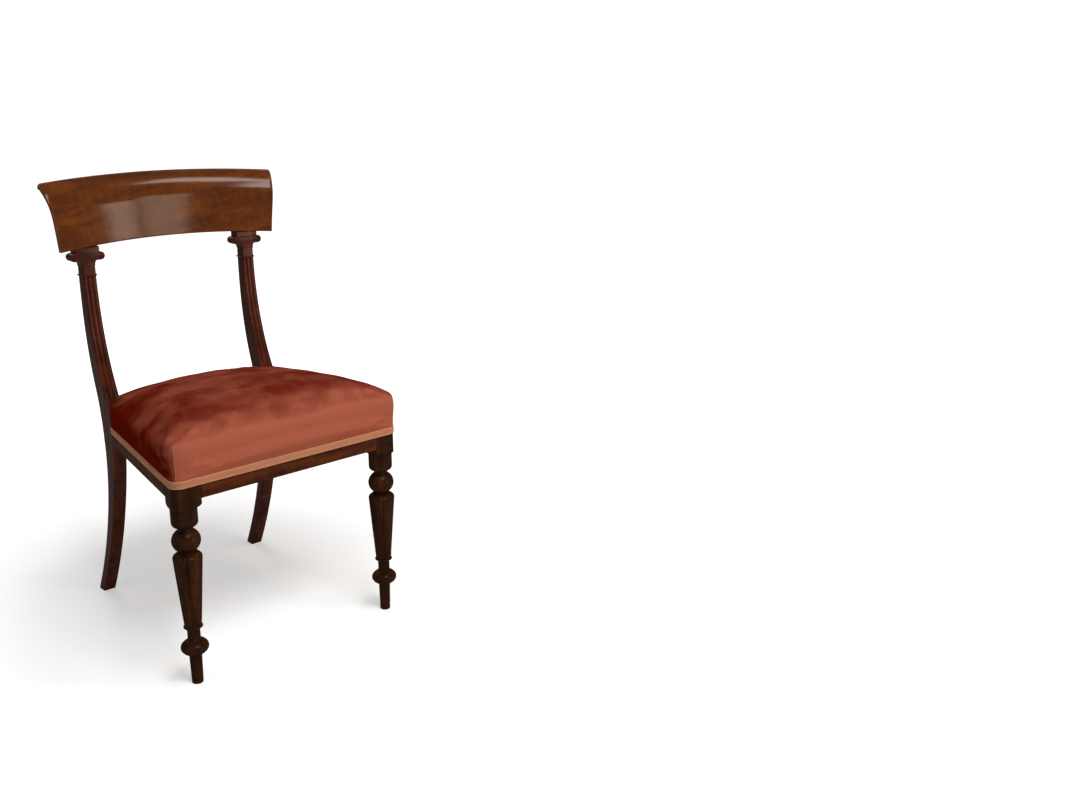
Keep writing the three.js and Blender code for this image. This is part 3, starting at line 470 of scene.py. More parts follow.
CREST_TONES = ("#452009", "#562909", "#6b390f")
POST_TONES = ("#230c05", "#3f180b", "#5a2711")
LEG_TONES = ("#180a03", "#2c1607", "#43230d")
RAIL_TONES = ("#2a1107", "#421f0b", "#5b2e12")
crest_wood = mahogany("figured_mahogany_french_polished", 0, CREST_TONES, (0.12, 0.34),
                      figure=48, tilt=(0, 0.16, 0))
post_wood = mahogany("dark_mahogany_french_polished", 2, POST_TONES, (0.22, 0.2))
leg_wood = mahogany("brown_mahogany_turned_and_polished", 2, LEG_TONES, (0.26, 0.09))
front_rail_wood = mahogany("mahogany_rail_grain_across", 0, RAIL_TONES, (0.24, 0.08))
side_rail_wood = mahogany("mahogany_rail_grain_lengthways", 1, RAIL_TONES, (0.24, 0.08))
print("5 mahogany finishes")

# %% [markdown]
# ## Crest rail
# The crest is one board, bandsawn to a curve in plan and carved so that its upper half rolls over
# backwards. It could be a box bent by modifiers, but its edges need different roundings, so it is
# a loft of sections from one end to the other. A section rises from the underside to the top and
# down the back; its ends shrink by a small radius so that the end edges are soft as well.

# %% Crest rail
CREST_UNDER, CREST_HEIGHT = 731.0, 129.0
CREST_LOW_HALF = 223.0
CREST_SPLAY, CREST_HORN, HORN_POWER = 11.4, 7.8, 4
CREST_ROLL_OVER, ROLL_START, ROLL_POWER = 27.0, 0.48, 2.3
CREST_SAG, CREST_CAMBER = 34.0, 9.0
CREST_THICKNESS = (24.0, 20.0, 12.0)
CREST_END_THICKNESS, THINNING_POWER = 0.4, 5
CREST_CORNER, CREST_EASE, CREST_TOP_ROUND = 6.0, 1.2, 3.0
FACE_RISES = np.linspace(0.03, 0.965, 44)
END_PLACES = np.array([0, 0.1, 0.35, 0.75, 1.2, 1.8, 2.6, 3.6, 4.8, 6.0, 9.0]) / CREST_LOW_HALF
MIDDLE_PLACES = np.linspace(-0.93, 0.93, 110)
POST_MIDDLE_X, POST_TOP_Y = 169.0, 424.5


def crest_thickness(place, rise):
    """24 mm low down, 20 at half height, 12 at the top, times 1 - 0.6 * |place| ** 5 along the rail."""
    low, waist, top = CREST_THICKNESS
    body = mix(low, waist, np.minimum(1, 2 * rise)) + (top - waist) * np.maximum(0, 2 * rise - 1)
    return body * mix(1, CREST_END_THICKNESS, np.abs(place) ** THINNING_POWER)


post_place = POST_MIDDLE_X / CREST_LOW_HALF
CREST_FRONT_END = (POST_TOP_Y - crest_thickness(post_place, np.array(0.0)) / 2
                   - CREST_SAG * (1 - post_place ** 2))


def crest_under(x):
    """The arched underside: highest in the middle, falling with the square of the distance from it."""
    return CREST_UNDER + CREST_CAMBER * (1 - (np.asarray(x) / CREST_LOW_HALF) ** 2)


def crest_points(place, rise, depth, shift_y, shift_z):
    """Points of the rail from shares: place -1 to 1 along it, rise 0 to 1 up it, depth 0 to 1 through it.

    The half length is 223 + 11.4 * rise + 7.8 * rise ** 4 and the front face lies 34 * (1 - place ** 2)
    behind its ends, both in millimetres, as the shifts are. The roll takes it further back.
    """
    half = CREST_LOW_HALF + CREST_SPLAY * rise + CREST_HORN * rise ** HORN_POWER
    roll = CREST_ROLL_OVER * between(rise, ROLL_START, 1) ** ROLL_POWER
    front = CREST_FRONT_END + CREST_SAG * (1 - place ** 2) + roll
    to_end = half * (1 - np.abs(place))
    corner_drop = CREST_CORNER * fall(between(to_end, CREST_CORNER, 0))
    inset = CREST_EASE * fall(between(to_end, CREST_EASE, 0))
    y = front + crest_thickness(place, rise) * depth + shift_y + inset * (1 - 2 * depth)
    lift = CREST_CAMBER * (1 - place ** 2) + (CREST_HEIGHT - corner_drop) * rise
    z = CREST_UNDER + lift + shift_z + inset * (1 - 2 * rise)
    return np.stack([place * half, y, z], axis=-1)


def crest_section():
    """Rise, depth and shifts round a section: eased edge, front, half-round top, and down the back."""
    low, top = quarter_turn(5), -np.cos(quarter_turn(7))
    zeros = [np.zeros(len(part)) for part in (low, FACE_RISES, top)]
    rise = np.concatenate([zeros[0], FACE_RISES, np.ones(len(top))])
    depth = np.concatenate([zeros[0], zeros[1], (1 + top) / 2])
    shift_y = np.concatenate([CREST_EASE * (1 - np.sin(low)), zeros[1], zeros[2]])
    shift_z = np.concatenate([CREST_EASE * (1 - np.cos(low)), zeros[1], -CREST_TOP_ROUND * fall(top)])
    back = slice(-2, None, -1)
    return (np.concatenate([rise, rise[back]]), np.concatenate([depth, 1 - depth[back]]),
            np.concatenate([shift_y, -shift_y[back]]), np.concatenate([shift_z, shift_z[back]]))


places = np.concatenate([-1 + END_PLACES, MIDDLE_PLACES, 1 - END_PLACES[::-1]])
section = [part[None, :] for part in crest_section()]
crest_rings = crest_points(places[:, None], *section)
# The section's point at the very top has no partner, so it is given twice and zips to itself.
peak = section[0].shape[1] // 2
crest_rings = np.insert(crest_rings, peak, crest_rings[:, peak], axis=1)
crest_shell = loft(crest_rings, zipped=True)
make_piece("crest_rail_polished", [crest_shell], crest_wood, "crest_rail")

# %% [markdown]
# ## Back posts
# Each post is one piece of wood from the floor to the crest: a sabre leg below the seat, a square
# block at the seat, and a slimmer upright that is reeded down its front and leans back. Above the
# block the front steps back by a ledge. The post is a loft of level rings whose front edge is
# either plain or three reeds, each a half ellipse. A thin half-round ring, the astragal, stops
# the reeds, and a small capital with two scrolls carries the crest. At the neck the upright is
# 4 mm deeper and 3.5 mm wider than the solid, as a late measurement of the photograph asks.

# %% Back posts: outline at each height
RAIL_UNDER, RAIL_TOP, LEDGE = 353.0, 410.0, 447.0
SEAT_DEPTH, POST_DEPTH, POST_WIDTH = 347.0, 43.0, 27.0
FOOT_SWEEP, FOOT_SPLAY, FOOT_DEPTH, FOOT_WIDTH = 109.0, 4.0, 26.0, 24.5
LEDGE_DEPTH, UPRIGHT_LOW, UPRIGHT_HIGH, UPRIGHT_WIDTH = 11.0, 46.0, 25.0, 25.5
SWEEP_POWER, LEG_POWER, LEAN_POWER, SLIM_POWER = 1.8, 3.3, 2.5, 1.6
ABACUS_HEIGHT, ABACUS_WIDTH, VOLUTE, CAPITAL_WIDTH, CAPITAL_DEPTH = 10.0, 46.0, 15.6, 66.0, 26.5
THROAT_WIDTH, COVE_HEIGHT, NECK_LENGTH, ASTRAGAL_HEIGHT, ASTRAGAL_REACH = 36.0, 10.0, 17.0, 3.0, 2.5
REED_DEPTH, REED_COUNT, REED_STEPS = 1.9, 3, 14
JOINT_GAP = 0.3
abacus_low = float(crest_under(POST_MIDDLE_X)) - ABACUS_HEIGHT
capital_low = abacus_low - VOLUTE
volute_middle = abacus_low - VOLUTE / 2
neck_top = capital_low - COVE_HEIGHT
astragal_low = neck_top - NECK_LENGTH - ASTRAGAL_HEIGHT


def post_outline(height):
    """Front, back, middle x and width at each height.

    Each of the three stretches goes from one size to the next by a power of the share of its height:
    the sabre leg's middle sweeps back by 109 mm times the share below the rail ** 1.8, the seat block
    only grows at its back, and the upright leans by the share left to the neck ** 2.5.
    """
    flat = np.zeros_like(height)
    down = between(height, RAIL_UNDER, 0)
    leg_depth = mix(FOOT_DEPTH, POST_DEPTH, (1 - down) ** LEG_POWER)
    leg_middle = SEAT_DEPTH + POST_DEPTH / 2 + FOOT_SWEEP * down ** SWEEP_POWER
    leg = (leg_middle - leg_depth / 2, leg_middle + leg_depth / 2,
           POST_MIDDLE_X + FOOT_SPLAY * down ** SWEEP_POWER, mix(FOOT_WIDTH, POST_WIDTH, 1 - down))
    up = between(height, RAIL_UNDER, LEDGE)
    ledge_back = SEAT_DEPTH + LEDGE_DEPTH + UPRIGHT_LOW
    block_back = mix(SEAT_DEPTH + POST_DEPTH, ledge_back, up ** SWEEP_POWER)
    block = (SEAT_DEPTH + flat, block_back, POST_MIDDLE_X + flat, POST_WIDTH + flat)
    left = between(height, neck_top, LEDGE)
    lean_middle = mix(POST_TOP_Y, ledge_back - UPRIGHT_LOW / 2, left ** LEAN_POWER)
    depth = mix(UPRIGHT_HIGH, UPRIGHT_LOW, left ** SLIM_POWER)
    width = mix(UPRIGHT_WIDTH, POST_WIDTH, left ** SLIM_POWER)
    upright = (lean_middle - depth / 2, lean_middle + depth / 2, POST_MIDDLE_X + flat, width)
    low, high = height <= RAIL_UNDER, height > LEDGE
    return [np.where(low, a, np.where(high, c, b)) for a, b, c in zip(leg, block, upright)]


# %% Back posts: rings
FRONT_EASE, BACK_EASE = 2.2, 3.5
LEDGE_ROUND, LEDGE_SETBACK, LEDGE_STEP = 0.7, 0.8, 0.001


def post_rings(height, reeding, setback):
    """Level rings: reeds of depth * (1 - sqrt(1 - t * t)) across the front, eased corners behind."""
    front, back, x, width = [part[:, None] for part in post_outline(height)]
    front = front + setback[:, None]
    count = REED_COUNT * REED_STEPS
    share = np.arange(count + 1)[None, :] / count
    reed = np.minimum(np.arange(count + 1) // REED_STEPS, REED_COUNT - 1)[None, :]
    t = np.sin((share * REED_COUNT - reed - 0.5) * math.pi)
    warped = (reed + (1 + t) / 2) / REED_COUNT
    hollow = reeding[:, None] * fall(t)
    plain = 1 - reeding[:, None] / REED_DEPTH
    edge = between(np.minimum(warped, 1 - warped) * width, FRONT_EASE, 0)
    front_x = x + width * (warped - 0.5)
    front_y = front + hollow + plain * FRONT_EASE * fall(edge)
    turn = quarter_turn(6)[None, :]
    corner_x = width / 2 - BACK_EASE * (1 - np.cos(turn))
    corner_y = back - BACK_EASE * (1 - np.sin(turn))
    side = np.linspace(0.15, 0.85, 6)[None, :]
    side_y = mix(front_y[:, -1:], back - BACK_EASE, side)
    side_x = x + width / 2 + side * 0
    right = [np.concatenate([side_x, x + corner_x], 1), np.concatenate([side_y, corner_y], 1)]
    left = [2 * x - right[0][:, ::-1], right[1][:, ::-1]]
    ring_x = np.concatenate([front_x, right[0], left[0]], axis=1)
    ring_y = np.concatenate([front_y, right[1], left[1]], axis=1)
    return np.stack([ring_x, ring_y, np.broadcast_to(height[:, None], ring_x.shape)], axis=-1)


# The rings lie close together where the outline steps: at the ledge, and where the reeds stop
# in the middle of the astragal.
reed_stop = astragal_low + ASTRAGAL_HEIGHT / 2
leg_z = np.concatenate([[0.0, 0.5, 1.2], np.linspace(6, RAIL_UNDER, 56)])
block_z = np.linspace(RAIL_UNDER + 8, LEDGE - LEDGE_ROUND, 12)
ledge_z = np.array([LEDGE - 0.3, LEDGE, LEDGE + LEDGE_STEP, LEDGE + 0.5])
reed_z = np.linspace(LEDGE + 1.4, reed_stop, 60)
neck_z = np.concatenate([[reed_stop + 0.1], np.linspace(astragal_low + ASTRAGAL_HEIGHT, volute_middle, 10)])
post_z = np.concatenate([leg_z, block_z, ledge_z, reed_z, neck_z])
post_reeding = np.where((post_z > LEDGE) & (post_z < reed_stop + 0.05), REED_DEPTH, 0.0)
post_setback = np.interp(post_z, [LEDGE - LEDGE_ROUND, LEDGE - 0.3, LEDGE, LEDGE + LEDGE_STEP],
                         [0, 0.15, LEDGE_SETBACK, 0])
post_shell = loft(post_rings(post_z, post_reeding, post_setback))
print("post rings", len(post_z), "from the floor to", round(float(post_z[-1]), 1), "mm")


# %% Back posts: astragal ring and capital
ASTRAGAL_CORNER, CAPITAL_EASE, BEAD_RADIUS = 1.2, 0.7, 0.85
EYE_RADIUS, EYE_REACH, EYE_SUNK = 2.2, 1.0, 0.3
SPIRAL_EYE, SPIRAL_INSET, SPIRAL_TURNS = 2.6, 1.3, 1.5


def rounded_loop(half_x, half_y, radius, steps=6):
    """A rectangle with rounded corners: quarter circles about four centres, counterclockwise."""
    turn = np.concatenate([quarter_turn(steps) + q * math.pi / 2 for q in range(4)])
    sx = np.repeat([1, -1, -1, 1], steps) * (half_x - radius)
    sy = np.repeat([1, 1, -1, -1], steps) * (half_y - radius)
    return np.stack([sx + radius * np.cos(turn), sy + radius * np.sin(turn)], axis=1)


def astragal_shell():
    """A half-round ring: the loop's reach is reach * cos t at a height sin t of half the ring's."""
    front, back, x, width = [float(v[0]) for v in post_outline(np.array([reed_stop]))]
    rings = []
    for turn in np.linspace(-math.pi / 2, math.pi / 2, 9):
        reach = ASTRAGAL_REACH * math.cos(turn)
        loop = rounded_loop(width / 2 + reach, (back - front) / 2 + reach, ASTRAGAL_CORNER + reach)
        z = astragal_low + ASTRAGAL_HEIGHT / 2 * (1 + math.sin(turn))
        rings.append(np.column_stack([loop + [x, (front + back) / 2], np.full(len(loop), z)]))
    return loft(np.array(rings), zipped=True)


def capital_outline():
    """The capital's face: hollow curves up from the neck, a scroll at each end, a block under the crest.

    A hollow is neck * (1 - t) ** 2 + 2 * bend * t * (1 - t) + throat * t ** 2 between three points.
    """
    scroll = VOLUTE / 2
    scroll_x = CAPITAL_WIDTH / 2 - scroll
    t = np.linspace(0, 1, 9)[:-1, None]
    neck, bend, throat = np.array([[UPRIGHT_WIDTH / 2, neck_top], [UPRIGHT_WIDTH / 2, capital_low],
                                   [THROAT_WIDTH / 2, capital_low]])
    cove = neck * (1 - t) ** 2 + 2 * bend * t * (1 - t) + throat * t ** 2
    turn = np.linspace(-math.pi / 2, math.pi / 2, 17)
    end = np.column_stack([scroll_x + scroll * np.cos(turn), volute_middle + scroll * np.sin(turn)])
    side = np.array([[ABACUS_WIDTH / 2, abacus_low], [ABACUS_WIDTH / 2, abacus_low + ABACUS_HEIGHT / 2]])
    right = np.concatenate([cove, end, side])
    block_x = np.linspace(ABACUS_WIDTH / 2, -ABACUS_WIDTH / 2, 13)
    top = np.column_stack([block_x, crest_under(block_x + POST_MIDDLE_X) - JOINT_GAP])
    return np.concatenate([right, top, right[::-1] * [-1, 1]])


def spiral_path():
    """A line that winds into both scrolls: its radius falls evenly from the rim to the eye."""
    scroll = VOLUTE / 2
    share = np.linspace(1, 0, 46)
    radius = mix(SPIRAL_EYE, scroll - SPIRAL_INSET, 1 - share)
    turn = math.pi / 2 - share * SPIRAL_TURNS * 2 * math.pi
    x = CAPITAL_WIDTH / 2 - scroll + radius * np.cos(turn)
    z = volute_middle + radius * np.sin(turn)
    right = np.column_stack([x, z])
    return np.concatenate([right, (right * [-1, 1])[::-1]])


def bead_along(path, y, sides=8):
    """A round bead along a plane path: circles across it, shrunk at both ends."""
    step = np.gradient(path, axis=0)
    step /= np.linalg.norm(step, axis=1, keepdims=True)
    normal = np.column_stack([-step[:, 1], step[:, 0]])
    swell = np.minimum(1, np.minimum(np.arange(len(path)), np.arange(len(path))[::-1]) / 3 + 0.25)
    turn = np.arange(sides) * 2 * math.pi / sides
    out = BEAD_RADIUS * swell[:, None] * np.cos(turn)[None, :]
    deep = BEAD_RADIUS * swell[:, None] * np.sin(turn)[None, :]
    x = path[:, :1] + normal[:, :1] * out
    z = path[:, 1:] + normal[:, 1:] * out
    return loft(np.stack([x, y + deep, z], axis=-1), zipped=True)


def eye_shell(x, y, side):
    """A scroll's eye, a low dome: circles of radius * cos t, proud by reach * sin t, the first one sunk."""
    t = quarter_turn(6)[:, None]
    turn = np.linspace(0, 2 * math.pi, 20, endpoint=False)[None, :]
    across = EYE_RADIUS * np.cos(t) + 0.02
    proud = EYE_REACH * np.sin(t) - EYE_SUNK * (t == 0) + 0 * turn
    z = volute_middle + across * np.sin(turn)
    return loft(np.stack([x + across * np.cos(turn), y + side * proud, z], axis=-1), zipped=True)


def capital_shells():
    """The capital, its scroll beads and eyes, on the +X post."""
    front = POST_TOP_Y - CAPITAL_DEPTH / 2
    back = POST_TOP_Y + CAPITAL_DEPTH / 2
    to_chair = along((POST_MIDDLE_X, front, 0), (1, 0, 0), (0, 0, 1), (0, 1, 0))
    shells = [loft(to_chair(eased_prism(capital_outline(), CAPITAL_DEPTH, CAPITAL_EASE)))]
    eye_x = CAPITAL_WIDTH / 2 - VOLUTE / 2
    for y, side in ((front, -1), (back, 1)):
        points, faces = bead_along(spiral_path(), y)
        shells.append((points + [POST_MIDDLE_X, 0, 0], faces))
        for x in (-eye_x, eye_x):
            shells.append(eye_shell(POST_MIDDLE_X + x, y, side))
    return shells


post_shells = [post_shell, astragal_shell(), *capital_shells()]
make_pair("back_post_{}_reeded", post_shells, post_wood, "back_post_{}")

# %% [markdown]
# ## Front legs
# A front leg is turned from a square: a plain foot, a knop, a thin ring, a tapering shaft, a ball
# and a drum under the square block that holds the rails. After turning, the shaft was carved into
# six broad reeds. A lathe curve makes the round parts; the shaft's rings are pulled in between
# the reeds. Radius and height run along one list of points, and the reeding is a share per row.
# Where the lathe's tool entered the square stock, each corner ends in a rounded pommel: there the
# outline is the lesser of the square's reach and a growing circle's.

# %% Front legs: turned profile
LEG_X, LEG_BLOCK, BLOCK_UNDER = 205.5, 48.0, 338.0
# radii of the turned parts, from the floor up
FOOT_RADIUS, FOOT_HIGH_RADIUS, KNOP_RADIUS, ANKLE_RADIUS, RING_RADIUS = 10.0, 11.25, 24.5, 11.3, 17.0
SHAFT_RADIUS, SHAFT_HIGH_RADIUS, COLLAR_RADIUS, BALL_RADIUS, THROAT_RADIUS = 15.0, 25.5, 13.5, 25.0, 13.0
DRUM_RADIUS, DRUM_ROUNDING, SHOULDER, SWELL_POWER = 23.0, 9.0, 9.0, 1.5
# heights where they begin and end
KNOP_LOW, KNOP_HIGH, RING_LOW, RING_HIGH, SHAFT_HIGH = 57.0, 84.0, 108.0, 113.0, 243.0
BALL_LOW, BALL_HIGH, DRUM_LOW, HEAD_LOW = 256.0, 294.0, 301.0, 333.0


def bead(inner, outer, low, high, steps, power=1.0):
    """Radii and heights of a swelling: radius rises with sin t ** power while height goes by -cos t."""
    turn = np.linspace(0, math.pi, steps + 1)
    radius = inner + (outer - inner) * np.sin(turn) ** power
    return np.column_stack([radius, (low + high) / 2 - (high - low) / 2 * np.cos(turn)])


def line(r0, z0, r1, z1, steps):
    """Points along a straight stretch of the profile."""
    return np.column_stack([np.linspace(r0, r1, steps + 1), np.linspace(z0, z1, steps + 1)])


foot_edge = np.array([[FOOT_RADIUS - 0.8, 0.0], [FOOT_RADIUS - 0.25, 0.25], [FOOT_RADIUS, 0.8]])
turn = quarter_turn(9)
shoulder = np.column_stack([mix(COLLAR_RADIUS, SHAFT_HIGH_RADIUS, np.cos(turn)),
                            SHAFT_HIGH + SHOULDER * np.sin(turn)])
turn = quarter_turn(10)
drum = np.column_stack([DRUM_RADIUS - DRUM_ROUNDING * (1 - np.sin(turn)),
                        DRUM_LOW + DRUM_ROUNDING * (1 - np.cos(turn))])
# each stretch with 1 where the leg is carved into reeds
stretches = [
    (foot_edge, 0),
    (line(FOOT_RADIUS, 2, FOOT_HIGH_RADIUS, KNOP_LOW, 10), 0),
    (bead(ANKLE_RADIUS, KNOP_RADIUS, KNOP_LOW, KNOP_HIGH, 28, SWELL_POWER), 0),
    (line(ANKLE_RADIUS, KNOP_HIGH + 1, ANKLE_RADIUS, RING_LOW - 1, 6), 0),
    (bead(ANKLE_RADIUS, RING_RADIUS, RING_LOW, RING_HIGH, 12), 0),
    (line(SHAFT_RADIUS, RING_HIGH + 0.01, SHAFT_HIGH_RADIUS, SHAFT_HIGH, 30), 1),
    (shoulder[1:], 1),
    (line(COLLAR_RADIUS, SHAFT_HIGH + SHOULDER + 0.6, COLLAR_RADIUS, BALL_LOW, 2), 0),
    (bead(COLLAR_RADIUS, BALL_RADIUS, BALL_LOW, BALL_HIGH, 28, SWELL_POWER), 0),
    (line(THROAT_RADIUS, BALL_HIGH + 0.6, THROAT_RADIUS, DRUM_LOW - 0.4, 4), 0),
    (drum, 0),
    (line(DRUM_RADIUS, DRUM_LOW + 10, DRUM_RADIUS, HEAD_LOW, 4), 0),
]
profile = np.concatenate([points for points, _ in stretches])
reeded = np.concatenate([np.full(len(points), float(carved)) for points, carved in stretches])
# the carving fades out where the shoulder closes on the collar
reeded *= between(profile[:, 0], COLLAR_RADIUS, COLLAR_RADIUS + 3) ** 0.5
print("leg profile", len(profile), "points")


# %% Front legs: carved shaft and block
SHAFT_REEDS, REED_SHARPNESS = 6, 0.8
GROOVE_DEPTH, GROOVE_WIDTH, GROOVE_POWER = 0.05, 0.07, 1.2


def reed_reach(turn):
    """Reach of the carved shaft as a share of its radius: an arc about a middle nearer the reed.

    With m = 1 - 0.8 and a the angle from the reed's middle, the arc is m * cos a + sqrt(0.8 ** 2 -
    (m * sin a) ** 2). A groove of 5 percent of the radius is cut between the reeds.
    """
    reed = 2 * math.pi / SHAFT_REEDS
    share = np.mod(turn / reed, 1)
    aside = reed * (share - 0.5)
    middle = 1 - REED_SHARPNESS
    face = middle * np.cos(aside) + np.sqrt(REED_SHARPNESS ** 2 - (middle * np.sin(aside)) ** 2)
    return face - GROOVE_DEPTH * between(np.minimum(share, 1 - share), GROOVE_WIDTH, 0) ** GROOVE_POWER


def leg_turn_angles():
    """Angles round the leg, closer together at the grooves between the reeds."""
    local = np.concatenate([[0, 0.025, 0.05, 0.08], np.linspace(0.13, 0.87, 15), [0.92, 0.95, 0.975]])
    return ((np.arange(SHAFT_REEDS)[:, None] + local[None, :]) * 2 * math.pi / SHAFT_REEDS).ravel()


angles = leg_turn_angles()
radius = profile[:, :1] * (1 + reeded[:, None] * (reed_reach(angles)[None, :] - 1))
leg_rings = np.stack([LEG_X + radius * np.cos(angles), radius * np.sin(angles),
                      np.broadcast_to(profile[:, 1:], radius.shape)], axis=-1)

SEAT_FRONT, SEAT_BACK = 459.0, 365.0
REBATE, SHOW_TOP, COVER_STAND, SEAT_CORNER = 2.5, 378.0, 2.3, 18.0
POMMEL_HEIGHT, POMMEL_SHARE, POMMEL_INSET, HEAD_EASE, BLOCK_EASE = 8.0, 0.72, 1.0, 1.0, 0.3
FRONT_FACE = -LEG_BLOCK / 2
side_slope = (SEAT_FRONT - SEAT_BACK) / 2 / SEAT_DEPTH
side_angle = math.atan(side_slope)
side_along = np.array([-math.sin(side_angle), math.cos(side_angle)])
side_in = np.array([-math.cos(side_angle), -math.sin(side_angle)])
face_corner = SEAT_CORNER - COVER_STAND
corner_y = FRONT_FACE + REBATE + face_corner


def side_face_x(y, stand=0.0):
    """The frame's side face in plan: it narrows evenly towards the back."""
    return SEAT_FRONT / 2 - side_slope * y + stand / math.cos(side_angle)


corner_x = side_face_x(corner_y, -REBATE - face_corner)


def corner_arc(reach, steps):
    """The rounding of the seat's front corner, from the front face round to the side."""
    turn = np.linspace(-math.pi / 2, side_angle, steps)
    return np.column_stack([corner_x + reach * np.cos(turn), corner_y + reach * np.sin(turn)])


def block_reach(turn):
    """Reach of the block round the leg's axis: half its size / the cosine to a face, or the round corner."""
    across, back = np.cos(turn), np.sin(turn)
    flat = LEG_BLOCK / 2 / np.maximum.reduce([across + side_slope * back, -across, back, -back])
    middle = np.array([corner_x - LEG_X, corner_y])
    ahead = middle[0] * across + middle[1] * back
    far = ahead + np.sqrt(np.maximum(0, (face_corner + REBATE) ** 2 - middle @ middle + ahead ** 2))
    return np.where((flat * across > middle[0]) & (flat * back < middle[1]), far, flat)


def head_shell():
    """Round drum to square block: the lesser of the block's reach and the pommel's.

    The pommel grows from the drum by rise * sin t at a height of 8 mm * (1 - cos t). A blend b rounds
    the edge between the two: (r + s - sqrt((r - s) ** 2 + b ** 2)) / 2.
    """
    turn = np.linspace(0, 2 * math.pi, 288, endpoint=False)[None, :]
    swell, lip = quarter_turn(16)[1:], quarter_turn(6)[1:]
    straight = np.linspace(BLOCK_UNDER + POMMEL_HEIGHT + 1, SHOW_TOP - HEAD_EASE, 8)
    z = np.concatenate([[HEAD_LOW, BLOCK_UNDER], BLOCK_UNDER + POMMEL_HEIGHT * (1 - np.cos(swell)),
                        straight, SHOW_TOP - HEAD_EASE * (1 - np.sin(lip))])
    rise = np.concatenate([[0, 0], np.sin(swell), np.ones(len(straight) + len(lip))])
    round_reach = mix(DRUM_RADIUS, LEG_BLOCK * POMMEL_SHARE - POMMEL_INSET, rise)[:, None]
    square = block_reach(turn)
    blend = between(z, BLOCK_UNDER, BLOCK_UNDER + 2)[:, None]
    lesser = (round_reach + square - np.sqrt((round_reach - square) ** 2 + blend ** 2)) / 2
    reach = np.where(blend > 0, lesser, round_reach)
    reach[-len(lip):] -= HEAD_EASE * (1 - np.cos(lip))[:, None]
    rings = np.stack([LEG_X + reach * np.cos(turn), reach * np.sin(turn), z[:, None] + 0 * turn], axis=-1)
    return loft(rings)


def block_shell():
    """The rebated top of the leg's block: square inside, on the frame's rounded corner outside."""
    low, high = SHOW_TOP - HEAD_EASE, RAIL_TOP - 0.2
    inner, back, front_y = LEG_X - LEG_BLOCK / 2, LEG_BLOCK / 2, FRONT_FACE + REBATE
    arc = corner_arc(face_corner, 18)
    side_y = np.linspace(arc[-1, 1], back, 8)[1:]
    outer = np.column_stack([side_face_x(side_y, -REBATE), side_y])
    inside = np.column_stack([np.linspace(outer[-1, 0], inner, 8)[1:], np.full(7, back)])
    down = np.column_stack([np.full(7, inner), np.linspace(back, front_y, 8)[1:]])
    front = np.column_stack([np.linspace(inner, arc[0, 0], 6)[1:-1], np.full(4, front_y)])
    loop = np.concatenate([arc, outer, inside, down, front])
    to_chair = along((0, 0, low), (1, 0, 0), (0, 1, 0), (0, 0, 1))
    return loft(to_chair(eased_prism(loop, high - low, BLOCK_EASE)))


make_pair("front_leg_{}_turned", [loft(leg_rings), head_shell(), block_shell()], leg_wood,
          "front_leg_{}")

# %% [markdown]
# ## Rails, corner blocks and screws
# The rails are straight and flat, so their CAD solids show as they are: mahogany with the grain
# along each rail. The corner blocks are beech, sawn and left bare, with short brown flecks. The
# screws are plain steel gone dull.

# %% Rails, corner blocks and screws
beech, tree = new_material("beech_sawn")
place = object_place(tree)
grain_noise = noise(tree, stretched(tree, place, 0, 130, 0.2), 3, 0.55)
flecks = noise(tree, stretched(tree, place, 0, 620, 0.18), 0, 0.5)
base = ramp(tree, grain_noise, [(0.3, "#9c7246"), (0.55, "#b68b5a"), (0.75, "#c79e6d")])
base = blend_colours(tree, span(tree, flecks, 0.62, 0.7, 0, 0.6), base, "#7a5230")
finish_material(tree, {"Roughness": 0.75, "Specular IOR Level": 0.2}, {"Base Color": base},
                flecks, 0.3, 0.4 * MM)

steel, tree = new_material("plain_steel_screw_dulled")
tarnish = noise(tree, stretched(tree, object_place(tree), 0, 900, 1.0), 3, 0.6)
base = ramp(tree, tarnish, [(0.35, "#5c5650"), (0.65, "#8f8a83")])
rough = span(tree, tarnish, 0.3, 0.7, 0.35, 0.6)
finish_material(tree, {"Metallic": 1.0}, {"Base Color": base, "Roughness": rough})

FINISHES = {"front_seat_rail": front_rail_wood, "back_seat_rail": front_rail_wood,
            "side_seat_rail": side_rail_wood, "corner_block": beech, "corner_screw": steel}
for name_start, material in FINISHES.items():
    for name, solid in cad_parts.items():
        if name.startswith(name_start):
            solid.data.materials.clear()
            solid.data.materials.append(material)
print("rails, blocks and screws finished")

# %% [markdown]
# ## Webbing and hessian
# Under the seat, strips of jute webbing are tacked to the rails and woven over and under each
# other. On them lies a sheet of hessian. A strip is a grid: its length follows a line that rises
# and dips at each crossing and folds back on itself at both ends. Both cloths are plain weave.
# Jute threads are about 1.3 mm wide in webbing and 1 mm in hessian, and the pattern is drawn so.


# %% Jute cloth
CLOTH_MIDDLE = 0.5
STRIPE_STRENGTH = 0.75


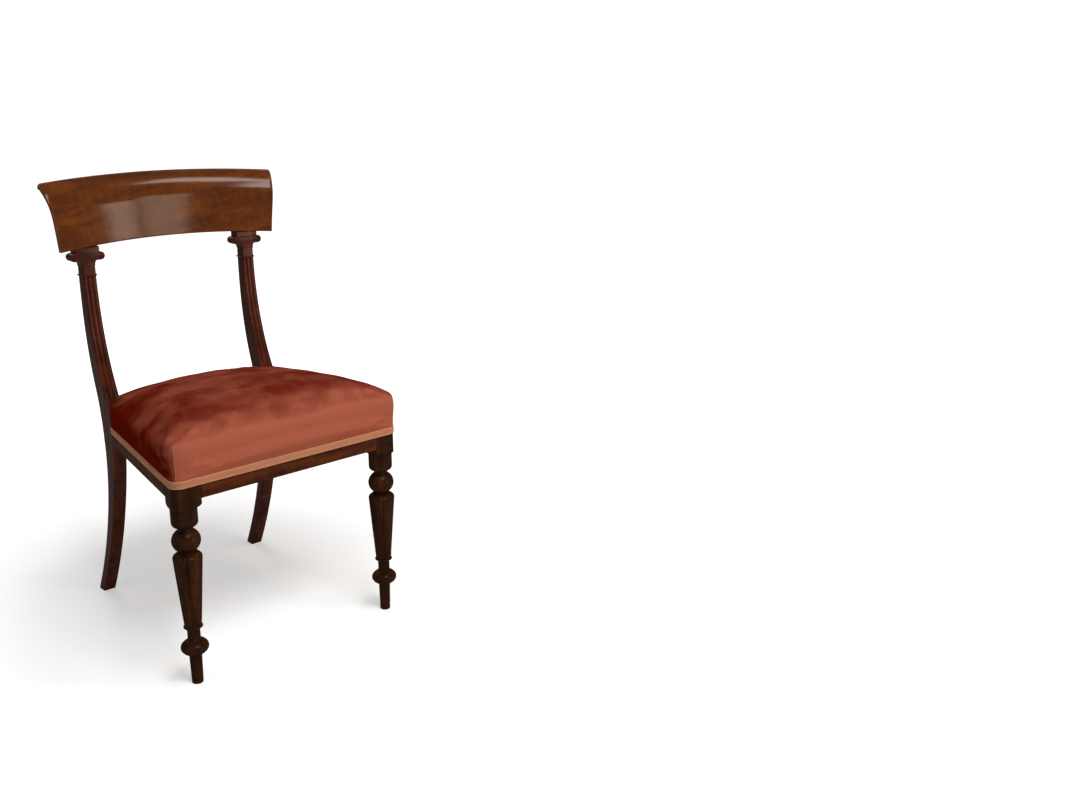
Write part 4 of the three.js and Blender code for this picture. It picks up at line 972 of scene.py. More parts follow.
def woven(name, thread_mm, tones, stripe=None):
    """Plain-woven jute: its height is sin(pi * u / thread) * sin(pi * v / thread), u and v in metres.

    A stripe is given by how far from the middle it begins and ends, on both sides.
    """
    material, tree = new_material(name)
    uv = add_node(tree, "ShaderNodeUVMap", uv_map="cloth").outputs["UV"]
    split = add_node(tree, "ShaderNodeSeparateXYZ", links={"Vector": uv})
    turns = math.pi / (thread_mm * MM)
    waves = [maths(tree, "SINE", maths(tree, "MULTIPLY", split.outputs[axis], turns)) for axis in ("X", "Y")]
    height = span(tree, maths(tree, "MULTIPLY", *waves), -1, 1)
    wear = noise(tree, stretched(tree, uv, 0, 90, 1.0), 4, 0.6)
    dark, light = tones
    # Painted shade: where the weave's height is low the cloth takes the dark tone, and where it is high it
    # takes the light one.
    base = blend_colours(tree, height, dark, light)
    base = blend_colours(tree, span(tree, wear, 0.35, 0.7, 0, 0.45), base, dark)
    if stripe:
        aside = maths(tree, "ABSOLUTE", maths(tree, "SUBTRACT", split.outputs["X"], CLOTH_MIDDLE))
        low, high = stripe
        inside, outside = maths(tree, "GREATER_THAN", aside, low), maths(tree, "LESS_THAN", aside, high)
        band = maths(tree, "MULTIPLY", maths(tree, "MULTIPLY", inside, outside), STRIPE_STRENGTH)
        base = blend_colours(tree, band, base, "#4b3524")
    finish_material(tree, {"Roughness": 0.92, "Specular IOR Level": 0.15}, {"Base Color": base},
                    height, 0.7, 0.5 * MM)
    return material


def set_uv(piece, u, v):
    """Gives each point of the piece its place in the cloth, in metres, as a UV map named cloth."""
    layer = piece.data.uv_layers.get("cloth") or piece.data.uv_layers.new(name="cloth")
    corner_points = np.zeros(len(piece.data.loops), int)
    piece.data.loops.foreach_get("vertex_index", corner_points)
    layer.data.foreach_set("uv", np.column_stack([u, v])[corner_points].astype(np.float32).ravel())


def sheet_piece(name, grid, thickness, material, node):
    """An open grid of shape (rows, columns, 3) as cloth with a thickness, and its length in metres.

    The UV map follows the lengths of the grid's middle row and column.
    """
    rows, columns, _ = grid.shape
    mesh = bpy.data.meshes.new(name)
    mesh.from_pydata(in_frame(grid).tolist(), [], grid_faces(rows, columns, closed=False).tolist())
    smooth(mesh)
    mesh.materials.append(material)
    piece = new_object(name, mesh)
    v = path_lengths(grid[:, columns // 2])
    u = path_lengths(grid[rows // 2])
    set_uv(piece, np.tile((u - u[-1] / 2) * MM + CLOTH_MIDDLE, rows), np.repeat(v * MM, columns))
    solid = piece.modifiers.new("thickness", "SOLIDIFY")
    solid.thickness = thickness * MM
    solid.offset = 0
    dress(piece, node)
    return piece, float(v[-1]) * MM


# %% Webbing strips
RAIL_THICK = 24.0
WEB_WIDTH, WEB_THICK, WEB_FOLD, WEB_INSET = 50.0, 1.5, 14.0, 3.0
WEB_SHARES = np.array([-0.68, -0.22, 0.22, 0.68])
WEB_HALF_STAND, WEB_RISE = 0.8, 1.9
WEB_LOW = RAIL_TOP + JOINT_GAP + WEB_HALF_STAND
WEB_TOP = WEB_LOW + WEB_RISE + WEB_HALF_STAND
WEB_STEP, WEB_SOFTNESS = 3.0, 7
strips = np.arange(len(WEB_SHARES))
RAIL_IN_Y, BACK_RAIL_FRONT, BACK_RAIL_BACK = FRONT_FACE + RAIL_THICK, 363.0, 385.0
web_front = FRONT_FACE + REBATE + WEB_INSET
web_back = BACK_RAIL_BACK - REBATE - WEB_INSET
post_inner_x = SEAT_BACK / 2 - POST_WIDTH
leg_inner_x = LEG_X - LEG_BLOCK / 2


def cross_web_y(index):
    """Cross strips lie evenly between the front and back rails."""
    return mix(RAIL_IN_Y, BACK_RAIL_FRONT, (index + 0.5) / len(strips))


def long_web_x(index, y):
    """Long strips fan in towards the back."""
    share = (y - web_front) / (web_back - web_front)
    return WEB_SHARES[index] * mix(leg_inner_x, post_inner_x, share)


def web_line(length, crossings, over):
    """Distance and height along a strip, with its ends folded back on top.

    Each crossing is flat at its level; a running mean of seven points rounds the steps between them.
    """
    s = np.arange(1.0, length - 0.9, WEB_STEP)
    crossing_s = np.column_stack([crossings - WEB_WIDTH / 2, crossings + WEB_WIDTH / 2]).ravel()
    level_z = np.interp(s, [0, *crossing_s, length], [0, *np.repeat(WEB_RISE * over, 2), 0])
    padded = np.pad(level_z, WEB_SOFTNESS // 2, mode="edge")
    z = np.convolve(padded, np.ones(WEB_SOFTNESS) / WEB_SOFTNESS, mode="valid")
    fold_s = np.linspace(WEB_FOLD, 1.0, 6)
    start = np.column_stack([fold_s, np.full(6, WEB_RISE)])
    u_turn = np.array([[0.35, WEB_RISE * 0.8], [0.1, WEB_RISE / 2], [0.35, WEB_RISE * 0.2]])
    end = np.column_stack([length - fold_s[::-1], np.full(6, WEB_RISE)])
    return np.concatenate([start, u_turn, np.column_stack([s, z]), [length, 0] + u_turn[::-1] * [-1, 1], end])


def long_strip(index):
    """Start, direction and length of a long strip, its crossings, and which of them it goes over."""
    start, end = [np.array([long_web_x(index, y), y]) for y in (web_front, web_back)]
    length = float(np.linalg.norm(end - start))
    way = (end - start) / length
    return start, way, length, (cross_web_y(strips) - web_front) / way[1], (index + strips) % 2 == 0


def cross_strip(index):
    """The same for a strip from side to side."""
    y = float(cross_web_y(index))
    half = side_face_x(y + WEB_WIDTH / 2, -REBATE - WEB_INSET)
    crossings = long_web_x(strips, y) + half
    return np.array([-half, y]), np.array([1.0, 0.0]), 2 * half, crossings, (index + strips) % 2 == 1


web_cloth = woven("jute_webbing_woven", 1.3, ("#7d6340", "#b89a6c"), (0.0165, 0.0195))
aside = np.linspace(-WEB_WIDTH / 2, WEB_WIDTH / 2, 9)
web_lengths = {}
for index in range(len(strips)):
    for kind, laid, rails in (
            ("lengthways", long_strip, ["front_seat_rail", "back_seat_rail"]),
            ("crossways", cross_strip, ["side_seat_rail_left", "side_seat_rail_right"])):
        start, way, length, crossings, over = laid(index)
        path = web_line(length, crossings, over)
        x = start[0] + way[0] * path[:, :1] + way[1] * aside
        y = start[1] + way[1] * path[:, :1] - way[0] * aside
        z = np.broadcast_to(WEB_LOW + path[:, 1:], x.shape)
        name = f"web_{kind}_{index + 1}"
        grid = np.stack([x, y, z], axis=-1)
        strip, long = sheet_piece(f"{name}_jute", grid, WEB_THICK, web_cloth, name)
        web_lengths[name] = round(long, 3)
print("webbing, metres:", web_lengths)

# %% [markdown]
# ## The seat's shape
# The cushion's outline in plan is a loop: straight at the back between the posts, stepped round
# each post, straight along the sides, rounded at the front corners. The same loop, swollen a
# little, gives the walls, and the top is a height over the plan: a crown that falls off steeply
# at the sides and front and less at the back.

# %% Seat loops and crown
FRONT_EDGE, BACK_EDGE, SEAT_CROWN, SEAT_SWELL, BACK_SWELL = 52.0, 19.0, 41.0, 6.5, 0.3
CROWN_FRONT, CROWN_BACK_DROP, CROWN_SIDE_POWER, CROWN_FRONT_POWER, SWELL_FADE = 0.5, 0.45, 4.5, 4.2, 4
SOFTENING_LOSS = 2.5
HEM, GIMP_HEIGHT = SHOW_TOP + JOINT_GAP, 14.0
SWELL_LOW = HEM + GIMP_HEIGHT + 1.5
SEAT_MIDDLE_Y = SEAT_DEPTH / 2
WALL_SHARES = np.array([0.15, 0.3, 0.43, 0.56, 0.68, 0.8, 0.87, 0.94, 1.0])
WALL_SWELLS = np.array([0.26, 0.5, 0.72, 0.9, 0.98, 1.0, 0.88, 0.6, 0.0])
TOP_SHARES = np.array([0.98, 0.955, 0.92, 0.87, 0.8, 0.7, 0.58, 0.44, 0.29, 0.14])


def seat_loop(under, swell):
    """The seat in plan: under is the depth below the velvet's face, swell pushes the front and sides out."""
    reach = SEAT_CORNER - under + swell
    tongue_x = post_inner_x - JOINT_GAP - under
    step_y = SEAT_DEPTH - JOINT_GAP - under
    back_y = BACK_RAIL_BACK - REBATE + COVER_STAND - under + swell * BACK_SWELL
    back = np.column_stack([np.linspace(0, tongue_x, 17), np.full(17, back_y)])
    notch = np.column_stack([np.full(5, tongue_x), np.linspace(back_y, step_y, 6)[1:]])
    side_reach = SEAT_CORNER - under
    length = (step_y - math.sin(side_angle) * side_reach - corner_y) / math.cos(side_angle)
    share = np.linspace(1, 0, 37)[:-1]
    stand = side_reach + swell * (1 - share ** SWELL_FADE)
    side = (np.array([corner_x, corner_y]) + side_along * (length * share)[:, None]
            - side_in * stand[:, None])
    inwards = np.column_stack([np.linspace(tongue_x, side[0, 0], 4)[1:-1], np.full(2, step_y)])
    corner = corner_arc(reach, 12)[::-1]
    front = np.column_stack([np.linspace(corner_x, 0, 23)[1:], np.full(22, corner_y - reach)])
    half = np.concatenate([back, notch, inwards, side, corner, front])
    return np.concatenate([half, half[-2:0:-1] * [-1, 1]])


def seat_top(x, y):
    """Height of the top: edge + crown * (1 - across ** 4.5) * rise.

    The rise is 1 - (1 - 2 * far) ** 4.2 in the front half and falls with the square of far behind it.
    """
    across = np.clip(np.abs(x) / side_face_x(y, COVER_STAND - REBATE), 0, 1)
    far = between(y, corner_y - SEAT_CORNER, BACK_RAIL_BACK - REBATE + COVER_STAND)
    near = 1 - (1 - np.minimum(1, far / CROWN_FRONT)) ** CROWN_FRONT_POWER
    late = 1 - CROWN_BACK_DROP * between(far, CROWN_FRONT, 1) ** 2
    crown = SEAT_CROWN * (1 - across ** CROWN_SIDE_POWER) * np.where(far < CROWN_FRONT, near, late)
    return RAIL_TOP + mix(FRONT_EDGE, BACK_EDGE, far) + crown


def seat_rings():
    """Rings of the stuffed seat from its hem: up the walls, then inwards over the crown to its middle.

    The walls swell by 2.5 mm more than they should, because smoothing takes about that away again.
    """
    edge = seat_loop(0.0, 0.0)
    top = seat_top(edge[:, 0], edge[:, 1])
    rings = [np.column_stack([edge, np.full(len(edge), z)]) for z in np.linspace(HEM, SWELL_LOW, 4)]
    for share, swell in zip(WALL_SHARES, WALL_SWELLS):
        wall = seat_loop(0.0, (SEAT_SWELL + SOFTENING_LOSS) * swell)
        rings.append(np.column_stack([wall, mix(SWELL_LOW, top, share)]))
    for share in TOP_SHARES:
        x = edge[:, 0] * share
        y = mix(SEAT_MIDDLE_Y, edge[:, 1], share)
        rings.append(np.column_stack([x, y, seat_top(x, y)]))
    return np.array(rings)


def seat_shell(rings):
    """A closed form from seat rings: a fan at the top and one at the bottom."""
    rows, columns, _ = rings.shape
    points = np.concatenate([rings.reshape(-1, 3), rings[0].mean(0)[None], rings[-1].mean(0)[None]])
    faces = grid_faces(rows, columns).tolist()
    start, last = rows * columns, (rows - 1) * columns
    k = np.arange(columns)
    after = (k + 1) % columns
    faces += np.column_stack([after, k, np.full(columns, start)]).tolist()
    faces += np.column_stack([last + k, last + after, np.full(columns, start + 1)]).tolist()
    return points, faces


crown_top = float(seat_top(np.array(0.0), np.array(190.0)))
print("seat edge", len(seat_loop(0.0, 0.0)), "points round; crown", round(crown_top, 1), "mm high")

# %% [markdown]
# ## Hessian
# The hessian is a flat sheet over the webbing, cut to the seat's outline. It shows between the
# webs from below. Its threads run with the chair, so its UV map is simply its plan in metres.

# %% Hessian
HESSIAN_THICK, HESSIAN_RIPPLE, HESSIAN_INSET = 0.8, 0.15, 1.0
hessian_cloth = woven("hessian_plain_woven_jute", 1.0, ("#6f5a3c", "#a78c62"))
loop = seat_loop(COVER_STAND + HESSIAN_INSET, 0.0)
shares = np.linspace(0.02, 1, 30)[:, None, None]
flat_plan = mix(np.array([0.0, SEAT_MIDDLE_Y]), loop, shares)
flat_plan = np.concatenate([flat_plan, flat_plan[:, :1]], axis=1)
ripple = HESSIAN_RIPPLE * np.sin(flat_plan[..., 0] / 9) * np.sin(flat_plan[..., 1] / 11)
hessian_grid = np.concatenate([flat_plan, (WEB_TOP + HESSIAN_THICK + ripple)[..., None]], axis=-1)
hessian, _ = sheet_piece("hessian_sheet", hessian_grid, HESSIAN_THICK, hessian_cloth,
                         "hessian_base")
set_uv(hessian, *(flat_plan.reshape(-1, 2).T * MM))
print("hessian", len(hessian.data.polygons), "faces")

# %% [markdown]
# ## Calico
# The stuffing is horsehair under unbleached calico, a plain cream cotton. Its threads are 0.4 mm
# thick and hidden by the velvet, so it needs no weave of its own: fine noise at about 0.7 mm gives
# the tone and a slight roughness.

# %% Calico
calico, tree = new_material("calico_plain_woven_unbleached")
threads = noise(tree, stretched(tree, object_place(tree), 0, 1400, 1.0), 2, 0.6)
base = ramp(tree, threads, [(0.3, "#b9ab8d"), (0.7, "#d8cdb2")])
finish_material(tree, {"Roughness": 0.9, "Specular IOR Level": 0.2}, {"Base Color": base},
                threads, 0.3, 0.3 * MM)
print("calico finished")

# %% [markdown]
# ## Velvet cover
# The velvet is pulled over the stuffing and tacked to the rails. Its swelling between the held
# edges comes from a cloth simulation: the shape is remeshed evenly, its edges smoothed as stuffing
# rounds them, and it is blown up by a small inner pressure with its tacked edges held. The result
# is kept within a few millimetres. The horsehair in its calico is then the same form, a cloth's
# thickness further in. What the upholsterer's hand adds comes last: a folded pleat at each front
# corner and slight unevenness. Then the underside is cut away and the cloth gets its thickness.


# %% Velvet cover: swelling by simulation
VOXEL, SOFTENINGS, HELD_FROM = 5.0, 30, 0.98
SWELL_FRAMES, SWELL_PRESSURE, SWELL_CAP = 20, 4.0, 4.0
HOLD_FADE, POST_HOLD = 14.0, 30.0
PLEAT_TURN, PLEAT_TOP, PLEAT_REACH = -0.62, 452.0, 9.0
CORNER_BACK = corner_y + 12


def vectors(mesh, kind):
    """A vector of each point of the mesh: co for its place in metres, normal for its outward normal."""
    flat = np.zeros(len(mesh.vertices) * 3)
    mesh.vertices.foreach_get(kind, flat)
    return flat.reshape(-1, 3)


def swollen(piece, hold):
    """Runs cloth with pressure and no gravity; a point moves by 4 mm at most, less where it is held."""
    mesh = piece.data
    start = vectors(mesh, "co")
    group = piece.vertex_groups.new(name="held")
    group.add(np.flatnonzero(hold > HELD_FROM).tolist(), 1.0, "REPLACE")
    cloth = piece.modifiers.new("cloth", "CLOTH")
    cloth.settings.use_pressure = True
    cloth.settings.uniform_pressure_force = SWELL_PRESSURE
    cloth.settings.effector_weights.gravity = 0
    cloth.settings.vertex_group_mass = "held"
    cloth.settings.quality = 4
    cloth.point_cache.frame_start, cloth.point_cache.frame_end = 1, SWELL_FRAMES
    scene = bpy.context.scene
    for step in range(1, SWELL_FRAMES + 1):
        scene.frame_set(step)
    evaluated = piece.evaluated_get(bpy.context.evaluated_depsgraph_get())
    move = vectors(evaluated.data, "co") - start
    piece.modifiers.remove(cloth)
    scene.frame_set(1)
    size = np.linalg.norm(move, axis=1, keepdims=True)
    kept = move * np.minimum(1, SWELL_CAP * MM / np.maximum(size, 1e-9)) * (1 - hold[:, None])
    mesh.vertices.foreach_set("co", (start + kept).ravel())
    print("simulated", len(start), "points; mean move", round(float(size.mean()) * 1000, 2), "mm")


def apply_modifiers(piece):
    """Replaces the mesh by its modified form."""
    evaluated = piece.evaluated_get(bpy.context.evaluated_depsgraph_get())
    mesh = bpy.data.meshes.new_from_object(evaluated)
    piece.modifiers.clear()
    piece.data = mesh
    return mesh


def mesh_points(mesh):
    """The mesh's points in millimetres, with y from the front legs' line."""
    return (vectors(mesh, "co") - [0, SEAT_LINE, 0]) / MM


def hold_of(points):
    """1 where the cover is tacked, at its hem and beside the back posts, and 0 away from there.

    It fades over a height of 14 mm above the hem, and over a distance of 30 mm from the posts.
    """
    hem_hold = between(points[:, 2], SWELL_LOW - 2 + HOLD_FADE, SWELL_LOW - 2)
    behind = np.maximum(0, SEAT_DEPTH - 4 - points[:, 1])
    inside = np.maximum(0, post_inner_x - np.abs(points[:, 0]))
    return np.maximum(hem_hold, between(np.hypot(behind, inside), POST_HOLD, 0))


def from_corner(points):
    """Angle and distance in plan from the middle of the seat's rounded front corner, on either side."""
    back, out = points[:, 1] - corner_y, np.abs(points[:, 0]) - corner_x
    return np.arctan2(back, out), np.hypot(back, out)


def pleat_distance(points):
    """Distance round the corner from the pleat's line: (angle - the pleat's angle) * reach."""
    turn, reach = from_corner(points)
    return (turn - PLEAT_TURN) * reach


def ridge(distance, height, place, width):
    """A rounded ridge, or a groove if the height is negative: height * exp(-((d - place) / width) ** 2)."""
    return height * np.exp(-((distance - place) / width) ** 2)


# The calico here is only the first cover; the velvet takes its place below.
cover_shell = seat_shell(seat_rings())
velvet_piece = make_piece("velvet_cover_stretched", [cover_shell], calico, "velvet_cover")
remesh = velvet_piece.modifiers.new("even", "REMESH")
remesh.mode = "VOXEL"
remesh.voxel_size = VOXEL * MM
mesh = apply_modifiers(velvet_piece)
hold = hold_of(mesh_points(mesh))
free = velvet_piece.vertex_groups.new(name="free")
for index, weight in enumerate((1 - hold).tolist()):
    free.add([index], weight, "REPLACE")
soften = velvet_piece.modifiers.new("soft_edges", "SMOOTH")
soften.factor, soften.iterations, soften.vertex_group = 0.5, SOFTENINGS, "free"
mesh = apply_modifiers(velvet_piece)
swollen(velvet_piece, hold)
subdivision = velvet_piece.modifiers.new("finer", "SUBSURF")
subdivision.levels = subdivision.render_levels = 1
mesh = apply_modifiers(velvet_piece)
print("velvet", len(mesh.vertices), "points")

# %% Calico pad, from the cover's form
PAD_UNDER, PAD_UNDER_PLEAT = 2.6, 2.4
pad_low = WEB_TOP + 2 * HESSIAN_THICK
points = mesh_points(mesh)
by_pleat = ridge(pleat_distance(points), 1, 0, PLEAT_REACH) * (points[:, 1] < CORNER_BACK)
inner = points - vectors(mesh, "normal") * (PAD_UNDER + PAD_UNDER_PLEAT * by_pleat)[:, None]
faces = [tuple(face.vertices) for face in mesh.polygons]
pad = make_piece("calico_pad", [(inner, faces)], calico, "seat_stuffing")
bm = bmesh.new()
bm.from_mesh(pad.data)
bmesh.ops.bisect_plane(bm, geom=bm.verts[:] + bm.edges[:] + bm.faces[:], dist=1e-6,
                       plane_co=(0, 0, pad_low * MM), plane_no=(0, 0, 1), clear_inner=True)
bmesh.ops.holes_fill(bm, edges=[edge for edge in bm.edges if edge.is_boundary], sides=0)
bmesh.ops.recalc_face_normals(bm, faces=bm.faces)
bm.to_mesh(pad.data)
bm.free()
print("pad", len(pad.data.polygons), "faces")

# %% [markdown]
# A pleat takes up the spare velvet at each front corner: one edge of the cloth is folded under,
# which leaves a vertical groove with a rounded lip beside it, deepest at the gimp and gone at the
# top of the corner. The corner is subdivided first, because the groove is 2 mm wide.


# %% Velvet cover: pleats, unevenness and hem
GROOVE, LIP, TUCK = (-1.9, 0.2, 1.1), (1.1, -2.6, 2.4), (-0.5, 4.0, 3.0)
PLEAT_LEAN, LIP_END, VELVET_THICK, UNDERSIDE_SLOPE = 0.03, 1.0, 1.6, -0.7
bm = bmesh.new()
bm.from_mesh(mesh)
for _ in range(2):
    centres = np.array([edge.verts[0].co + edge.verts[1].co for edge in bm.edges]) / 2
    middles = (centres - [0, SEAT_LINE, 0]) / MM
    chosen = (np.abs(pleat_distance(middles)) < PLEAT_REACH) & (middles[:, 2] < PLEAT_TOP + 4)
    chosen &= (from_corner(middles)[1] > 10) & (middles[:, 1] < CORNER_BACK)
    chosen &= np.abs(middles[:, 0]) > corner_x - 6
    bm.edges.ensure_lookup_table()
    edges = [bm.edges[i] for i in np.flatnonzero(chosen)]
    bmesh.ops.subdivide_edges(bm, edges=edges, cuts=1, use_grid_fill=True)
bm.normal_update()
underside = [face for face in bm.faces
             if face.normal.z < UNDERSIDE_SLOPE and face.calc_center_median().z < (HEM + 4) * MM]
bmesh.ops.delete(bm, geom=underside, context="FACES")
bm.to_mesh(mesh)
bm.free()

points = mesh_points(mesh)
x, y, z = points.T
above_hem = z - HEM
beside = pleat_distance(points) + above_hem * PLEAT_LEAN
strength = between(z, PLEAT_TOP, PLEAT_TOP - 20) * (y < CORNER_BACK) * (np.abs(x) > corner_x - 8)
pleat = ridge(beside, *GROOVE) + ridge(beside, *LIP) * (beside < LIP_END) + ridge(beside, *TUCK)
uneven = 0.5 * np.sin(x / 31 + 1.3) * np.sin(y / 27 + 0.4) + 0.35 * np.sin(x / 13 - y / 17)
moved = points + vectors(mesh, "normal") * (pleat * strength + uneven * between(z, 440, 460))[:, None]
moved[:, 2] = np.maximum(moved[:, 2], HEM)
mesh.vertices.foreach_set("co", in_frame(moved).ravel())
smooth(mesh)
mesh.update()
print("velvet after pleats", len(mesh.vertices), "points")

# %% [markdown]
# ## Velvet
# Velvet is cut pile: short upright threads that trap light. It looks dark and deep where one sees
# into the pile and pale where the pile lies over and shows its sides. Here that is painted into the
# colour: the cover has two tones, mixed by a value on each point that holds the nap's lie and
# painted light by the way its face points. Down the front panel, where the nap is smoothed, it is
# painted pale as sheen; on the top, where it stands, it has brushed, paler strokes and a little
# painted sheen, most at its front edge; at the sides, where it stands, it is painted darkest as
# shade, less so near the front corners. A sheen adds the soft edge light of pile. The threads are
# 0.1 mm thick, too fine to draw, so noise of about 1 mm stands for small tufts of them.

# %% Velvet: lie of the nap, with painted sheen and shade
FRONT_NAP_PAINTED_SHEEN, EDGE_NAP_PAINTED_SHEEN, CORNER_NAP_PAINTED_SHEEN, TOP_NAP_PAINTED_SHEEN, SIDE_NAP_PAINTED_SHADE = 0.9, 0.24, 0.6, 0.14, -0.22


def store_value(mesh, name, values):
    """Stores one number on each point of the mesh, for its material to read."""
    mesh.attributes.new(name, "FLOAT", "POINT").data.foreach_set("value", values.astype(np.float32))


facing = vectors(mesh, "normal")
forward, sideways, upward = -facing[:, 1], np.abs(facing[:, 0]), np.clip(facing[:, 2], 0, 1)
front_edge_painted_sheen = between(y, 45, -25) * upward
corner_painted_sheen = between(y, corner_y + 80, corner_y) * between(above_hem, 22, 52) * sideways
waver = 0.6 + 0.4 * np.sin(y / 8 + above_hem / 11) * np.sin(above_hem / 6 - y / 19)
# Painted light: forward faces, the top's front edge and the sides near the front corners are raised as
# painted sheen, the top a little, and sideways faces are lowered as painted shade.
nap_and_painted_light = FRONT_NAP_PAINTED_SHEEN * between(forward, 0.4, 0.92) + EDGE_NAP_PAINTED_SHEEN * front_edge_painted_sheen + CORNER_NAP_PAINTED_SHEEN * corner_painted_sheen * waver
nap_and_painted_light += TOP_NAP_PAINTED_SHEEN * upward + SIDE_NAP_PAINTED_SHADE * sideways
store_value(mesh, "nap_and_painted_light", np.clip(nap_and_painted_light, -0.3, 1))

velvet, tree = new_material("cotton_velvet_cut_pile")
place = object_place(tree)
strokes = noise(tree, stretched(tree, place, 0, 12, 0.7), 2, 0.5, 0.4)
smudges = noise(tree, stretched(tree, place, 1, 32, 0.75), 2, 0.5, 0.3)
pile = noise(tree, stretched(tree, place, 0, 1100, 1.0), 1, 0.5)
brushed = maths(tree, "MULTIPLY", span(tree, strokes, 0.42, 0.68), 0.46)
rubbed = maths(tree, "MULTIPLY", span(tree, smudges, 0.45, 0.72), 0.22)
# The stored value, which carries the painted sheen and shade with the nap's lie, plus brushed strokes and
# rubbed smudges.
lie = maths(tree, "ADD", stored_value(tree, "nap_and_painted_light"), brushed)
lie = maths(tree, "ADD", lie, rubbed, use_clamp=True)
# A low sum gives the deep tone, the painted shade of the sides; a high sum gives the pale tone, the painted
# sheen of the front.
base = blend_colours(tree, lie, "#5b0f05", "#9a5440")
base = blend_colours(tree, span(tree, pile, 0.4, 0.65, 0, 0.18), base, "#4c0f08")
finish_material(tree, {"Roughness": 0.95, "Specular IOR Level": 0.0, "Sheen Weight": 0.1,
                       "Sheen Roughness": 0.4, "Sheen Tint": colour("#b8452c")},
                {"Base Color": base}, pile, 0.35, 0.5 * MM)
mesh.materials.clear()
mesh.materials.append(velvet)
cover_thickness = velvet_piece.modifiers.new("thickness", "SOLIDIFY")
cover_thickness.thickness = VELVET_THICK * MM
cover_thickness.offset = -1
areas = np.zeros(len(mesh.polygons))
mesh.polygons.foreach_get("area", areas)
print("velvet area", round(float(areas.sum()), 4), "square metres")

# %% [markdown]
# ## Gimp
# Gimp is a narrow woven braid, glued over the velvet's raw edge: a cord along each side and two
# strands that cross between them. The band follows the seat's outline, and its face is raised by
# a relief that is a function of the distance along it and the height across it, so every strand
# is real geometry. Its colour is painted darker on the low ground between the strands, as shade,
# and paler on the raised strands and cords.

# %% Gimp: relief and path
GIMP_BASE, GIMP_BACK, GIMP_STAND, GIMP_ROUND, GIMP_ROWS, GIMP_STEP = 0.7, 0.1, 0.12, 0.6, 27, 0.75
CORD_PLACE, CORD_RADIUS, CORD_TWIST, TWIST_DEPTH, TWIST_LEAN = 1.3, 1.15, 2.8, 0.16, 2.4
STRAND_PERIOD, STRAND_SWING, STRAND_WIDTH, STRAND_HEIGHT, STRAND_DIP = 9.0, 3.2, 1.05, 0.95, 0.3


def gimp_relief(s, h):
    """Height of the braid's face at a distance s along it and a height h across it.

    Twisted cords run near both edges. Two strands h = middle +- 3.2 * sin(2 * pi * s / 9) cross between
    them and go over and under by 0.3 * cos(2 * pi * s / 9).
    """
    relief = np.full(np.broadcast(s, h).shape, GIMP_BASE)
    for cord_h, lean in ((CORD_PLACE, 1), (GIMP_HEIGHT - CORD_PLACE, -1)):
        round_part = np.sqrt(np.maximum(0, CORD_RADIUS ** 2 - (h - cord_h) ** 2))
        turns = s / CORD_TWIST + lean * (h - cord_h) / TWIST_LEAN
        twist = 1 + TWIST_DEPTH * np.sin(2 * math.pi * turns)
        relief = np.maximum(relief, GIMP_BASE * 0.6 + round_part * twist)
    for sign in (1, -1):
        wave = 2 * math.pi * s / STRAND_PERIOD
        strand_h = GIMP_HEIGHT / 2 + sign * STRAND_SWING * np.sin(wave)
        top = STRAND_HEIGHT + STRAND_DIP * sign * np.cos(wave)
        relief = np.maximum(relief, GIMP_BASE + ridge(h, top, strand_h, STRAND_WIDTH))
    return relief


def even_path(points, step):
    """A path resampled at even steps, with its outward normals to the left of its travel."""
    lengths = path_lengths(points)
    s = np.linspace(0, lengths[-1], int(lengths[-1] / step) + 1)
    path = np.column_stack([np.interp(s, lengths, points[:, k]) for k in range(2)])
    way = np.gradient(path, axis=0)
    way /= np.linalg.norm(way, axis=1, keepdims=True)
    return s, path, np.column_stack([way[:, 1], -way[:, 0]])


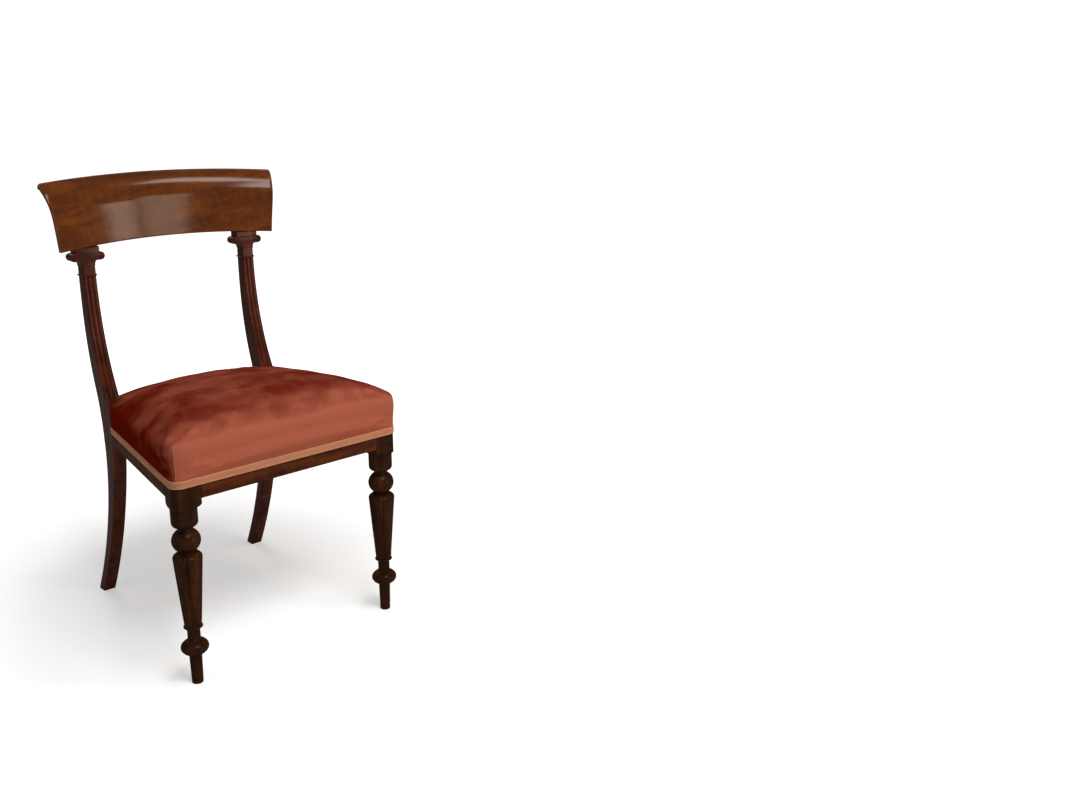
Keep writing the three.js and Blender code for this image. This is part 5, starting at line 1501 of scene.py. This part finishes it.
def gimp_rings(path_points):
    """Rings round the band at each step of its path: up the raised face and down the flat back."""
    s, path, normal = even_path(path_points, GIMP_STEP)
    up = np.linspace(0.05, GIMP_HEIGHT - 0.05, GIMP_ROWS)
    h = np.concatenate([up, np.linspace(GIMP_HEIGHT, 0, GIMP_ROWS)])
    face = gimp_relief(s[:, None], h[None, :])
    rim = between(np.minimum(h, GIMP_HEIGHT - h), 0, GIMP_ROUND) ** 0.5
    out = np.where(np.arange(len(h))[None, :] < GIMP_ROWS, GIMP_STAND + face * rim[None, :], GIMP_BACK)
    x = path[:, :1] + normal[:, :1] * out
    y = path[:, 1:] + normal[:, 1:] * out
    z = np.broadcast_to(HEM + h[None, :], x.shape)
    return np.stack([x, y, z], axis=-1), s, h, face


arc = corner_arc(SEAT_CORNER + JOINT_GAP, 24)
side_end_y = SEAT_DEPTH - JOINT_GAP
side_end = np.array([[side_face_x(side_end_y, COVER_STAND - REBATE + JOINT_GAP), side_end_y]])
right_half = np.concatenate([arc, side_end])
front_path = np.concatenate([right_half[::-1] * [-1, 1], right_half])
back_face = BACK_RAIL_BACK - REBATE + COVER_STAND + JOINT_GAP
back_half = post_inner_x - JOINT_GAP
back_path = np.array([[back_half, back_face], [-back_half, back_face]])

gimp, tree = new_material("gimp_braid_rayon_woven")
uv = add_node(tree, "ShaderNodeUVMap", uv_map="cloth").outputs["UV"]
fade = noise(tree, stretched(tree, object_place(tree), 0, 60, 1.0), 3, 0.6)
threads = noise(tree, stretched(tree, uv, 0, 1500, 0.5), 1, 0.5)
# Painted shade: the flat ground between the strands, where the stored relief is 0, takes the darkest tone;
# the raised strands and cords take the palest.
base = ramp(tree, stored_value(tree, "relief"), [(0.0, "#8e5738"), (0.45, "#b67b58"), (1.0, "#cc9672")])
base = blend_colours(tree, span(tree, fade, 0.4, 0.7, 0, 0.35), base, "#a0644a")
base = blend_colours(tree, span(tree, threads, 0.4, 0.62, 0, 0.25), base, "#7d4a2c")
finish_material(tree, {"Roughness": 0.7, "Specular IOR Level": 0.25, "Sheen Weight": 0.1},
                {"Base Color": base}, threads, 0.3, 0.3 * MM)

for name, path in (("gimp_front_and_sides", front_path), ("gimp_back", back_path)):
    rings, s, h, face = gimp_rings(path)
    piece = make_piece(f"{name}_braid", [loft(rings)], gimp, name, sharp=70)
    set_uv(piece, np.repeat(s * MM, len(h)), np.tile(h * MM, len(s)))
    # The raised share, from which the braid's colour paints its shade.
    raised = between(face, GIMP_BASE, GIMP_BASE + 1.2) * (np.arange(len(h)) < GIMP_ROWS)
    store_value(piece.data, "relief", raised.ravel())
